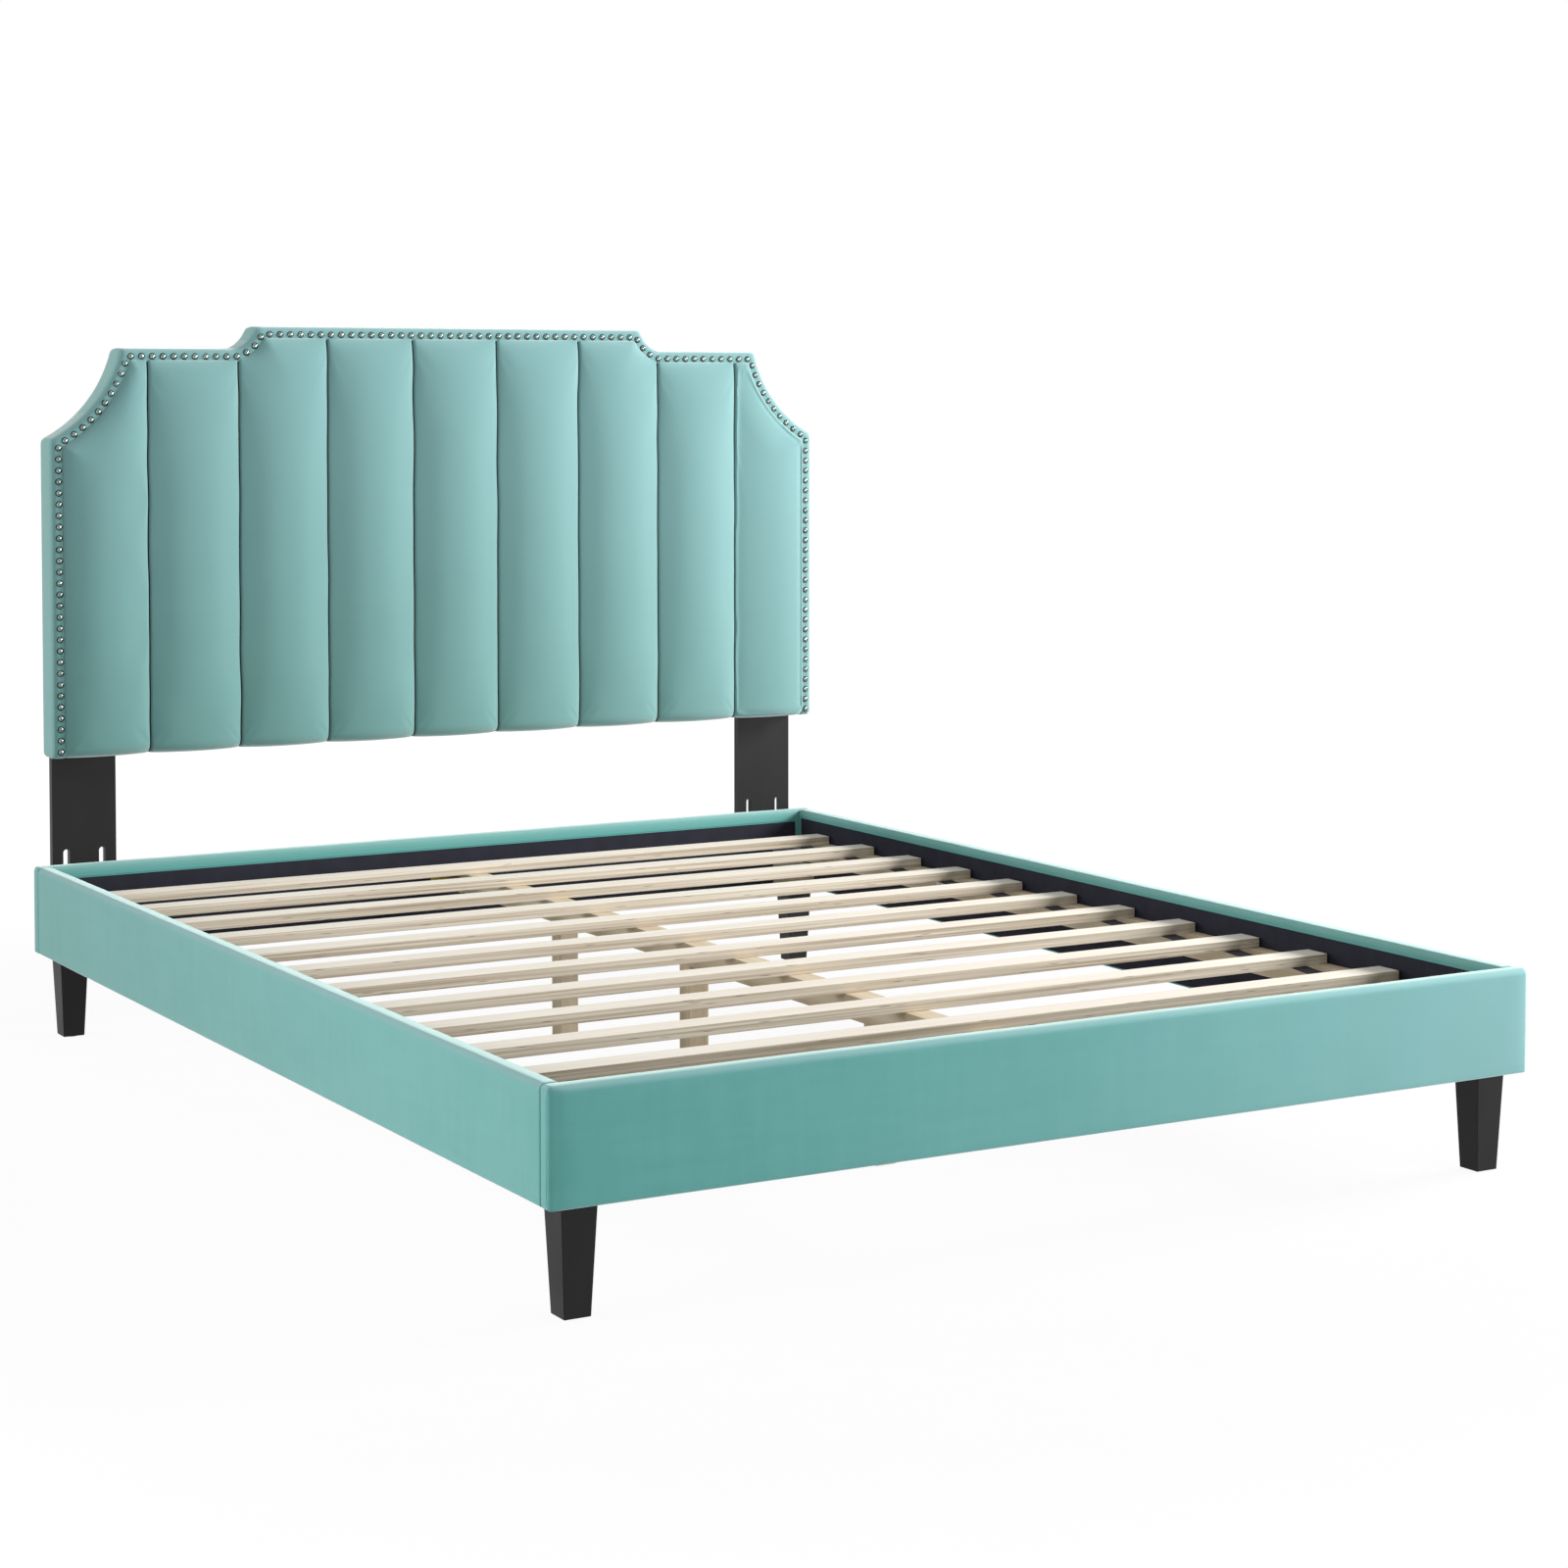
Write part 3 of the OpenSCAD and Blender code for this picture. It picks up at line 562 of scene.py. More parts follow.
@once
def black_lacquer():
    # Black sprayed lacquer on timber: satin, with a slight orange peel and the grain just
    # telegraphing through it.
    material, tree, shader, where = new_material(
        "satin black lacquer", Roughness=0.45, Specular_IOR_Level=0.18
    )
    base = dye("black")
    grime = pattern(tree, where, 18, (1, 1, 0.5), 2.0)
    tone = put(tree, "Mix", between(grime, base, brighter(base, 1.3)), data_type="RGBA")
    tree.links.new(tone.outputs[2], shader.inputs["Base Color"])
    rough = pattern(tree, where, 12, (1, 1, 0.6), 2.0, 0.4, 0.5)
    tree.links.new(rough, shader.inputs["Roughness"])
    peel = put(tree, "Bump", {"Height": pattern(tree, where, 260), "Strength": 0.1, "Distance": 0.0003})
    lines = pattern(tree, where, 150, (1, 1, 0.04))
    grain = put(
        tree, "Bump", {"Height": lines, "Strength": 0.05, "Distance": 0.0003, "Normal": peel.outputs[0]}
    )
    tree.links.new(grain.outputs[0], shader.inputs["Normal"])
    return material


def plated(name, base, roughness, worn, rim=None):
    """Plated steel with cloudy variation in tone and polish, and a painted dark reflection where a mesh's rim
    attribute marks one.
    """
    material, tree, shader, where = new_material(name, Metallic=1.0)
    clouds = pattern(tree, where, 120, (1, 1, 1), 3.0)
    tone = put(tree, "Mix", between(clouds, base, worn), data_type="RGBA").outputs[2]
    if rim:
        marked = put(tree, "Attribute", attribute_name="rim").outputs["Fac"]
        tone = put(tree, "Mix", between(marked, tone, rim), data_type="RGBA").outputs[2]
    tree.links.new(tone, shader.inputs["Base Color"])
    limits = {"To Min": roughness * 0.8, "To Max": roughness * 1.25}
    rough = put(tree, "MapRange", {"Value": clouds, **limits})
    tree.links.new(rough.outputs[0], shader.inputs["Roughness"])
    return material


@once
def nickel_plate():
    # Nickel-plated steel nail heads: polished domes, slightly cloudy, with a painted dark
    # reflection under the rim and on top, marked by each head's rim attribute.
    return plated("polished nickel plate", dye("nickel"), 0.13, linear("72827E"), linear("0C1816"))


@once
def zinc_plate():
    # Bright zinc plate on screws and brackets: pale and satin.
    return plated("bright zinc plate", dye("zinc"), 0.34, linear("93979B"))


@once
def yellow_zinc_plate():
    # Yellow-passivated zinc on the beam hangers: brassy, with an uneven olive cast.
    return plated("yellow-passivated zinc", dye("yellow_zinc"), 0.38, linear("9A8A55"))


@once
def moulded_glide():
    # Moulded polyethylene glides: dark and matt, with a spark-eroded grain, drawn coarse at 2 mm.
    material, tree, shader, where = new_material("moulded polyethylene", Roughness=0.6)
    grain = pattern(tree, where, 500)
    tone = put(tree, "Mix", between(grain, dye("plastic"), linear("2C2C2C")), data_type="RGBA")
    tree.links.new(tone.outputs[2], shader.inputs["Base Color"])
    bump = put(tree, "Bump", {"Height": grain, "Strength": 0.2, "Distance": 0.0003})
    tree.links.new(bump.outputs[0], shader.inputs["Normal"])
    return material


def seen_directly(tree):
    """1 for rays from the camera, a glossy face or glass, and 0 for those that only bring light."""
    rays = put(tree, "LightPath")
    seen = rays.outputs["Is Camera Ray"]
    for ray in ("Is Glossy Ray", "Is Transmission Ray"):
        seen = put(tree, "Math", {0: seen, 1: rays.outputs[ray]}, operation="MAXIMUM").outputs[0]
    return seen


def floor_paint():
    # Plain matt floor that runs out into the white surroundings, and keeps a soft shadow.
    material = bpy.data.materials.new("plain matt floor")
    material.use_nodes = True
    tree = material.node_tree
    tree.nodes.clear()
    where = put(tree, "TexCoord").outputs["Object"]
    grain = pattern(tree, where, 12, (1, 1, 1), 2.0)
    tone = put(tree, "Mix", between(grain, dye("floor"), linear("A0A0A0")), data_type="RGBA")
    matt = put(tree, "BsdfDiffuse", {"Color": tone.outputs[2]})
    glow = put(tree, "Emission", {"Color": (1, 1, 1, 1), "Strength": 1.05})
    # Near the bed a tenth of the floor's look is paint that takes a shadow, and none past 3.6 m
    spread = put(tree, "VectorMath", {0: where}, operation="LENGTH").outputs["Value"]
    limits = {"From Min": 1.8, "From Max": 3.6, "To Min": 0.9, "To Max": 1.0}
    edge = put(tree, "MapRange", {"Value": spread, **limits}).outputs[0]
    share = put(tree, "Math", {0: seen_directly(tree), 1: edge}, operation="MULTIPLY")
    look = put(tree, "MixShader", {0: share.outputs[0], 1: matt.outputs[0], 2: glow.outputs[0]})
    put(tree, "OutputMaterial", {"Surface": look.outputs[0]})
    return material


# ---- Shapes that several pieces share ----


def arc_centre(a, b, radius):
    """Centre of the arc from a down to b that is hollow towards the upper right."""
    a, b = Vector(a), Vector(b)
    run = b - a
    rise = math.sqrt(radius**2 - run.length_squared / 4)
    return (a + b) / 2 + rise * Vector((-run.y, run.x)) / run.length


def headboard_shape():
    """The headboard's corner points, arcs and depths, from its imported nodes."""
    size = settings("headboard")
    low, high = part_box("headboard_border")
    half, crest = high[0], high[2]
    shoulder_z = crest - size.notch_height
    side_z = shoulder_z - size.scoop_height
    shoulder_x = half - size.scoop_width
    notch_x = shoulder_x - size.shoulder
    crest_x = notch_x - size.notch_width
    return {
        "half": half,
        "bottom": low[2],
        "crest": crest,
        "shoulder_z": shoulder_z,
        "back": high[1],
        "depth": high[1] - low[1],
        "scoop": (arc_centre((shoulder_x, shoulder_z), (half, side_z), size.scoop_radius), size.scoop_radius),
        "notch": (arc_centre((crest_x, crest), (notch_x, shoulder_z), size.notch_radius), size.notch_radius),
    }


def arc_run(centre, radius, start, end, count):
    turn = np.linspace(start, end, count + 1)
    return np.stack([centre[0] + radius * np.cos(turn), centre[1] + radius * np.sin(turn)], axis=1)


def left_turn(arc, z):
    """The angle at which an arc's left-hand side passes a height."""
    centre, radius = arc
    return -math.pi + math.asin((centre[1] - z) / radius)


def right_edge(shape, inset, low, counts):
    """Points up the headboard's right-hand edge, drawn in by inset, each stretch with its own count."""
    half, crest, shoulder = (shape[name] - inset for name in ("half", "crest", "shoulder_z"))
    scoop, notch = ((centre, radius + inset) for centre, radius in (shape["scoop"], shape["notch"]))
    side, first, level, second, top = counts
    upright = -math.acos((half - scoop[0][0]) / scoop[1])
    large = arc_run(*scoop, upright, left_turn(scoop, shoulder), first)
    small = arc_run(*notch, left_turn(notch, shoulder), left_turn(notch, crest), second)
    start = np.array([half, shape["bottom"] + low])
    runs = [
        np.linspace(start, large[0], side + 1)[:-1],
        large[:-1],
        np.linspace(large[-1], small[0], level + 1)[:-1],
        small[:-1],
        np.linspace(small[-1], [0, crest], top + 1),
    ]
    return np.concatenate(runs)


def whole_edge(shape, inset, low=0.0, counts=(142, 56, 54, 16, 98)):
    """The right-hand edge up to the middle of the crest, then the left-hand one back down."""
    right = right_edge(shape, inset, low, counts)
    left = right[-2::-1] * [-1, 1]
    return np.concatenate([right, left])


def run_lengths(path):
    steps = np.linalg.norm(np.diff(path, axis=0), axis=1)
    return np.concatenate([[0], np.cumsum(steps)])


def nail_places(shape):
    """Where the nails stand, evenly spaced round the border."""
    size = settings("headboard")
    path = whole_edge(shape, size.nail_inset, size.nail_start)
    runs = run_lengths(path)
    count = round(runs[-1] / size.nail_pitch)
    at = np.linspace(0, runs[-1], count + 1)
    return np.stack([np.interp(at, runs, path[:, k]) for k in (0, 1)], axis=1)


def distance_to(path, points):
    """Shortest distance from each point to a path."""
    best = np.full(len(points), 1e9)
    for a, b in zip(path[:-1], path[1:]):
        run = b - a
        share = np.clip(((points - a) @ run) / max(run @ run, 1e-12), 0, 1)
        best = np.minimum(best, np.linalg.norm(points - a - share[:, None] * run, axis=1))
    return best


def height_of(path, x):
    """Height of the right-hand edge at each distance from the middle."""
    order = path[::-1]
    return np.interp(np.abs(x), order[:, 0], order[:, 1])


def rounded_copy(node, name, width, segments):
    """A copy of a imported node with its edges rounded."""
    deselect()
    piece = bpy.data.objects.new(name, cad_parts[node].data.copy())
    piece.data.name = name
    bpy.context.collection.objects.link(piece)
    with editing(piece, "VERT"):
        bpy.ops.mesh.select_all(action="SELECT")
        bpy.ops.mesh.remove_doubles(threshold=SAME_PLACE)
        bpy.ops.mesh.dissolve_limited(angle_limit=math.radians(0.5))
    limits = {"limit_method": "ANGLE", "angle_limit": math.radians(30)}
    modify(piece, "BEVEL", width=width, segments=segments, harden_normals=False, **limits)
    smooth(piece, 50)
    modify(piece, "WEIGHTED_NORMAL", weight=80, keep_sharp=True)
    return piece


def dress(node, name, width, body, slot, material, segments=2):
    """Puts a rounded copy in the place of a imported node, in its real finish."""
    finish_piece(rounded_copy(node, name, width, segments), body, slot, material, node)


# ---- The pieces ----


class BED_OT_rail_covers(Operator):
    """Wraps the four rails in padded velvet, with rounded edges and a recess for the lining"""

    bl_idname = "bed.rail_covers"
    bl_label = "Rail covers"

    # Where cuts give the velvet points to move: from the rail's ends, over its lower edge (the first
    # also under its top) and from the middle of its depth, then the spacing of those along it
    END_CUTS = (0.0003, 0.001, 0.002, 0.0034, 0.0048, 0.006, 0.009, 0.013, 0.018, 0.025, 0.035)
    HEIGHT_CUTS = (0.014, 0.03, 0.055, 0.08, 0.105)
    DEPTH_CUTS = (-0.006, 0, 0.006)
    SPACING = 0.018
    # Only the edges that run the whole rail are longer than this
    WHOLE_RUN = 0.5
    # How far from the ends the outer face's crown begins to fade
    CROWN_FADE = 0.05
    # Heights and lengths of the velvet's waves, and those on its top, where points lie this near it
    WAVES = ((0.0005, 0.12), (0.0003, 0.045))
    TOP_WAVE = (0.0005, 0.16)
    TOP_DEPTH = 0.012
    # How far down inside a rail the painted light fades out, and how deep the inside's points may lie
    PAINTED_LIGHT_DROP = 0.016
    INSIDE_DEPTH = 0.004

    def execute(self, context):
        size = settings("rails")
        for side, turn, end, turn_in in (
            ("foot", 0, size.corner, size.end_turn_in),
            ("head", 180, size.corner, size.end_turn_in),
            ("left", -90, size.seam, size.side_turn_in),
            ("right", 90, size.seam, size.side_turn_in),
        ):
            node = f"{side}_rail_cover"
            low, high = (Vector(c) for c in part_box(node))
            turned = Matrix.Rotation(math.radians(turn), 4, "Z")
            inward = Vector(round(c) for c in turned.to_3x3() @ Vector((0, 1, 0)))
            centre = (low + high) / 2
            span = turned.inverted().to_3x3() @ (high - low)
            half = Vector(abs(c) / 2 for c in span)
            cover = self.wrap(f"{side}_rail_velvet", half, end, turn_in, size)
            cover.data.transform(Matrix.Translation(centre) @ turned)
            self.soften(cover, centre, inward)
            smooth(cover, 50)
            finish_piece(cover, BASE, "velvet", velvet("down"), node)
            # Over the top a paler copy of the velvet with weaker sheen paints a highlight, and down inside a
            # copy with little sheen paints shade
            cover.data.materials.append(velvet("over"))
            cover.data.materials.append(velvet("turned"))
            for face in cover.data.polygons:
                inside = face.normal.dot(inward) > 0.6
                face.material_index = 2 if inside else int(face.normal.z > 0.8)
            # Painted light: paler on top, towards the foot rail's right end and just inside the top
            self.brush(cover, side == "foot", centre, inward, half)
        return {"FINISHED"}

    def wrap(self, name, half, end, turn_in, size):
        """The cover about its own middle, with its outer face towards -Y."""
        cover = add_block(name, -half, half)
        tall = 2 * half.z
        with editing(cover, "EDGE"):
            for test, width, steps in (
                (lambda e: along(e, 0) and middle(e).y < -half.y / 2 and middle(e).z > 0, size.edge, 7),
                (lambda e: along(e, 0) and middle(e).y < -half.y / 2 and middle(e).z < 0, size.lower_edge, 5),
                (lambda e: along(e, 0) and middle(e).y > half.y / 2, size.inner_edge, 5),
            ):
                pick(cover, "edges", test)
                bpy.ops.mesh.bevel(offset=width, segments=steps, profile=0.5)
            inner = (half.x - 2 * half.y if end == size.corner else half.x) - size.corner_strip
            near = [half.x - step for step in self.END_CUTS]
            cuts = [((x, 0, 0), (1, 0, 0)) for x in (-inner, inner, *near, *(-x for x in near))]
            heights = (size.lining_lift, tall - turn_in, *self.HEIGHT_CUTS, tall - self.HEIGHT_CUTS[0])
            cuts += [((0, 0, z - half.z), (0, 0, 1)) for z in heights]
            cuts += [((0, y, 0), (0, 1, 0)) for y in self.DEPTH_CUTS]
            for place, way in cuts:
                bpy.ops.mesh.select_all(action="SELECT")
                bpy.ops.mesh.bisect(plane_co=place, plane_no=way)
            low, high = size.lining_lift - half.z, half.z - turn_in
            pick(
                cover,
                "faces",
                lambda f: f.normal.y > 0.9 and abs(middle(f).x) < inner and low < middle(f).z < high,
            )
            bpy.ops.mesh.extrude_region_move(TRANSFORM_OT_translate={"value": (0, -size.recess, 0)})
            pick(cover, "edges", lambda e: along(e, 0) and e.calc_length() > self.WHOLE_RUN)
            bpy.ops.mesh.subdivide(number_cuts=round(2 * half.x / self.SPACING))
        points = read_points(cover)
        from_end = half.x - np.abs(points[:, 0])
        outer = np.clip(-points[:, 1] / half.y, 0, 1) ** 4
        rise = 1 - (points[:, 2] / half.z) ** 2
        ends = 1 - np.clip((self.CROWN_FADE - from_end) / self.CROWN_FADE, 0, 1) ** 2
        points[:, 1] -= size.crown * outer * rise * ends
        on_top = points[:, 2] > half.z - 0.001
        points[:, 2] += size.top_crown * on_top * (1 - (points[:, 1] / half.y) ** 2)
        # Rounded ends: the section is drawn in along a quarter circle
        for axis, sign, radius in ((1, -1, end), (1, 1, size.seam), (2, 1, end), (2, -1, size.seam)):
            near = np.clip(1 - from_end / radius, 0, 1)
            drawn = radius * (1 - np.sqrt(1 - near**2)) * (points[:, axis] * sign > 0)
            points[:, axis] *= 1 - drawn / half[axis]
        if end == size.corner:
            # The velvet turns in before the bed's corners, and less at the second end
            close = np.clip(1 - from_end / size.turn_width, 0, 1)
            pull = np.where(points[:, 0] < 0, 1, 0.25)
            points[:, 1] += size.turn_depth * pull * outer * close**2
        put_points(cover, points)
        return cover

    def soften(self, cover, centre, inward):
        """Small irregularities of stretched velvet over foam, none where it is stapled inside."""
        points, inward = read_points(cover), np.array(inward)
        depth = (points - np.array(centre)) @ inward
        share = np.clip(0.5 - depth / np.ptp(depth), 0, 1)
        waves = sum(height * wander_all(points, wave) for height, wave in self.WAVES)
        points += np.outer(waves * share, inward)
        height, wave = self.TOP_WAVE
        on_top = points[:, 2] > points[:, 2].max() - self.TOP_DEPTH
        points[:, 2] += height * wander_all(points + 5, wave) * on_top
        put_points(cover, points)

    def brush(self, cover, lighter_to_right, centre, inward, half):
        """Paints light into the cover's colour: paler where it faces up, towards the foot rail's right end,
        and inside just under the top.
        """
        points, normals = read_points(cover), np.empty(3 * len(cover.data.vertices))
        cover.data.vertices.foreach_get("normal", normals)
        painted_light_share = np.clip(normals[2::3] / 0.7, 0, 1)
        if lighter_to_right:
            painted_light_share = np.maximum(painted_light_share, np.clip(points[:, 0] / (2 * half.x) + 0.5, 0, 1) ** 1.5)
        inside = (points - np.array(centre)) @ np.array(inward) > half.y - self.INSIDE_DEPTH
        drop = centre.z + half.z - points[inside, 2]
        painted_light_share[inside] = np.clip(1 - drop / self.PAINTED_LIGHT_DROP, 0, 1)
        set_painted_light(cover, painted_light_share)


class BED_OT_linings(Operator):
    """Staples dust cloth inside the four rails and over the headboard's back"""

    bl_idname = "bed.linings"
    bl_label = "Linings"

    # How high the cloth ripples, and how far apart its points are along a rail
    RIPPLE = 0.0004
    SPACING = 0.02
    # How far inside the headboard's outline the back cloth ends, and how far over its lower edge
    LAP = 0.018
    HEM = 0.002

    def execute(self, context):
        for side, axis, inward in (("foot", 0, 1), ("head", 0, -1), ("left", 1, 1), ("right", 1, -1)):
            self.line_rail(side, axis, inward)
        self.line_back()
        return {"FINISHED"}

    def line_rail(self, side, axis, inward):
        """Cloth inside a rail that runs along one axis and has the bed's inside along the other."""
        node, deep = f"{side}_rail_lining", 1 - axis
        low, high = (np.array(c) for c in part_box(node))
        long, tall = high[axis] - low[axis], high[2] - low[2]
        # The cloth lies just inside the face that looks into the bed
        face = (high if inward > 0 else low)[deep] - inward * SHEET_DEPTH

        def place(u, v):
            where = [None, None, low[2] + v * tall]
            where[axis] = low[axis] + u * long
            ripple = np.array([wander(a * long / 0.09, b * 2.2, face * 9) for a, b in zip(u, v)])
            where[deep] = face + inward * self.RIPPLE * ripple
            return where

        columns, behind = round(long / self.SPACING), [f"{side}_rail_velvet"]
        self.cloth(f"{side}_lining_cloth", node, place, columns, 8, (long, tall), BASE, behind)

    def line_back(self):
        """Cloth over the headboard's back, which laps the border's turned edge."""
        shape = headboard_shape()
        edge = right_edge(shape, self.LAP, 0, (2, 24, 2, 12, 2))
        half, bottom = shape["half"] - self.LAP, shape["bottom"] + self.HEM

        def place(u, v):
            x = (2 * u - 1) * half
            z = bottom + v * (height_of(edge, x) - bottom)
            ripple = np.array([wander(a / 0.11, b / 0.13) for a, b in zip(x, z)])
            return [x, shape["back"] - SHEET_DEPTH + self.RIPPLE * ripple, z]

        flat = (2 * half, shape["crest"] - self.LAP - bottom)
        behind = ["headboard_velvet_border"]
        self.cloth("back_dust_cloth", "headboard_backing", place, 140, 60, flat, HEADBOARD, behind)

    def cloth(self, name, node, place, columns, rows, flat, body, behind):
        sheet = add_grid(name, columns, rows, place)
        modify(sheet, "SOLIDIFY", thickness=CLOTH_THICKNESS, offset=0)
        face_outwards(sheet)
        smooth(sheet, 60)
        finish_piece(sheet, body, "lining", dust_cloth(), node)


class BED_OT_legs(Operator):
    """Rounds and lacquers the four tapered legs"""

    bl_idname = "bed.legs"
    bl_label = "Legs"

    def execute(self, context):
        edge = settings("timber").leg_edge
        for corner in ("foot_left", "foot_right", "head_left", "head_right"):
            node, name = f"leg_{corner}", f"{corner}_tapered_leg"
            dress(node, name, edge, BASE, "black_wood", black_lacquer(), 3)
        return {"FINISHED"}


class BED_OT_struts(Operator):
    """Rounds and lacquers the two slotted struts"""

    bl_idname = "bed.struts"
    bl_label = "Struts"

    def execute(self, context):
        edge = settings("timber").strut_edge
        for side in ("left", "right"):
            node, name = f"{side}_strut", f"{side}_slotted_strut"
            dress(node, name, edge, HEADBOARD, "black_wood", black_lacquer())
        return {"FINISHED"}


class BED_OT_slats(Operator):
    """Rounds the slats' edges and gives them their grain"""

    bl_idname = "bed.slats"
    bl_label = "Slats"

    def execute(self, context):
        edge = settings("timber").slat_edge
        for i in range(1, SLATS + 1):
            dress(f"slat_{i}", f"slat_board_{i}", edge, BASE, "slat_wood", slat_lumber())
        return {"FINISHED"}


class BED_OT_underframe(Operator):
    """Rounds and finishes the ledgers, corner blocks, centre beam and posts"""

    bl_idname = "bed.underframe"
    bl_label = "Underframe"

    def execute(self, context):
        edge = settings("timber").slat_edge
        for node, name, material in (
            ("left_ledger", "left_ledger_strip", timber_along_y()),
            ("right_ledger", "right_ledger_strip", timber_along_y()),
            ("centre_beam", "centre_beam_timber", timber_along_y()),
            ("corner_blocks", "corner_block_timbers", timber_upright()),
            ("post_foot", "foot_post_timber", timber_upright()),
            ("post_middle", "middle_post_timber", timber_upright()),
            ("post_head", "head_post_timber", timber_upright()),
        ):
            dress(node, name, edge, BASE, "pine", material)
        return {"FINISHED"}


class BED_OT_webbing(Operator):
    """Lays two webbing straps under the slats, sagging a little between them"""

    bl_idname = "bed.webbing"
    bl_label = "Slat webbing"

    def execute(self, context):
        low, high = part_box("slat_webbing")
        sag = settings("timber").strap_sag
        first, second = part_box("slat_1"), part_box("slat_2")
        slat_w = first[1][1] - first[0][1]
        pitch = second[0][1] - first[0][1]
        long = high[1] - low[1]
        straps = []
        for side in SIDES:
            middle_x = side * (high[0] - STRAP_WIDTH / 2)

            def place(u, v, middle_x=middle_x):
                y = low[1] + v * long
                free = np.clip(((y - low[1]) % pitch - slat_w) / (pitch - slat_w), 0, 1)
                dip = sag * 4 * free * (1 - free) * (1 + 0.4 * np.array([wander(a * 3, middle_x) for a in y]))
                return [middle_x + (u - 0.5) * STRAP_WIDTH, y, high[2] - SHEET_DEPTH - dip]

            strap = add_grid(f"strap_{side}", 4, 340, place)
            modify(strap, "SOLIDIFY", thickness=STRAP_THICKNESS, offset=0)
            straps.append(strap)
        both = join(straps, "webbing_straps")
        face_outwards(both)
        smooth(both, 60)
        finish_piece(both, BASE, "webbing", webbing_cloth(), "slat_webbing")
        return {"FINISHED"}


class BED_OT_border(Operator):
    """Sweeps the padded velvet border round the headboard, dimpled under its nails"""

    bl_idname = "bed.border"
    bl_label = "Headboard border"

    # Inset from the headboard's edge and height over its back, in millimetres, from the velvet's
    # turned edge on the back, round the side and over the front to where the channels begin
    SECTION = (
        (30, 2.6), (24, 2.2), (20, 0.8), (12, 0.15), (6, 0.2), (2.6, 1.0), (0.9, 3.0), (0.2, 6.5),
        (-0.3, 13), (-0.9, 21), (-1.2, 30), (-1.1, 39), (-0.8, 46), (-0.5, 51), (-0.1, 54.6), (1.0, 58.0),
        (2.9, 60.6), (5.4, 62.6), (8.4, 63.8), (11.4, 64.2), (14, 64.0), (16.2, 64.0), (18.2, 64.3),
        (20.2, 64.2), (22.2, 63.2), (23.8, 60), (24.4, 55), (25, 48), (26, 34), (27, 16), (29, 5),
    )
    # Spread and depth of a dimple round a nail, and height of the velvet's other swellings
    DIMPLE_SPREAD = 0.0075
    DIMPLE_DEPTH = 0.0009
    PUFF = 0.0007
    # How far over the lower edge the border begins to roll under, and how far its front and its
    # sides draw in there
    ROLL_START = 0.009
    ROLL_FRONT = 0.008
    ROLL_SIDE = 0.004

    def execute(self, context):
        shape = headboard_shape()
        section = np.array(self.SECTION + self.SECTION[:1]) / 1000
        rows = [self.eased(whole_edge(shape, inset)) for inset, _ in section]
        columns = len(rows[0])
        nails = nail_places(shape)

        def place(u, v):
            row = np.rint(v * (len(section) - 1)).astype(int)
            column = np.rint(u * (columns - 1)).astype(int)
            flat = np.array([rows[r][c] for r, c in zip(row, column)])
            depth = section[row, 1]
            # The last few millimetres at both lower ends roll under
            above = np.clip((flat[:, 1] - shape["bottom"]) / self.ROLL_START, 0, 1)
            roll = 1 - np.sqrt(1 - (1 - above) ** 2)
            front = np.clip((depth - 0.03) / 0.03, 0, 1)
            depth = depth - self.ROLL_FRONT * roll * front
            flat[:, 0] -= np.sign(flat[:, 0]) * self.ROLL_SIDE * roll * (1 - front)
            near = np.array([np.min(np.linalg.norm(nails - p, axis=1)) for p in flat])
            dent = np.exp(-((near / self.DIMPLE_SPREAD) ** 2)) * np.clip((depth - 0.055) / 0.005, 0, 1)
            waves = np.array([wander(p[0] / 0.07, p[1] / 0.07, d / 0.03) for p, d in zip(flat, depth)])
            puff = self.PUFF * waves * np.clip((depth - 0.02) / 0.02, 0, 1)
            return [flat[:, 0], shape["back"] - depth + self.DIMPLE_DEPTH * dent - puff, flat[:, 1]]

        border = add_grid("headboard_velvet_border", columns - 1, len(section) - 1, place)
        close_shell(border)
        smooth(border, 70)
        finish_piece(border, HEADBOARD, "velvet", velvet("up"), "headboard_border")
        # A paler copy with weaker sheen on the border's sides paints how they are lit
        border.data.materials.append(velvet("over"))
        for face in border.data.polygons:
            face.material_index = int(abs(face.normal.x) > 0.7)
        # Painted light: the colour goes paler towards the crest and the right
        paint_light_up_and_right(border)
        return {"FINISHED"}

    def eased(self, path):
        """The same path with its sharp corners rounded by a few millimetres."""
        for _ in range(3):
            path[1:-1] = path[1:-1] / 2 + (path[:-2] + path[2:]) / 4
        return path


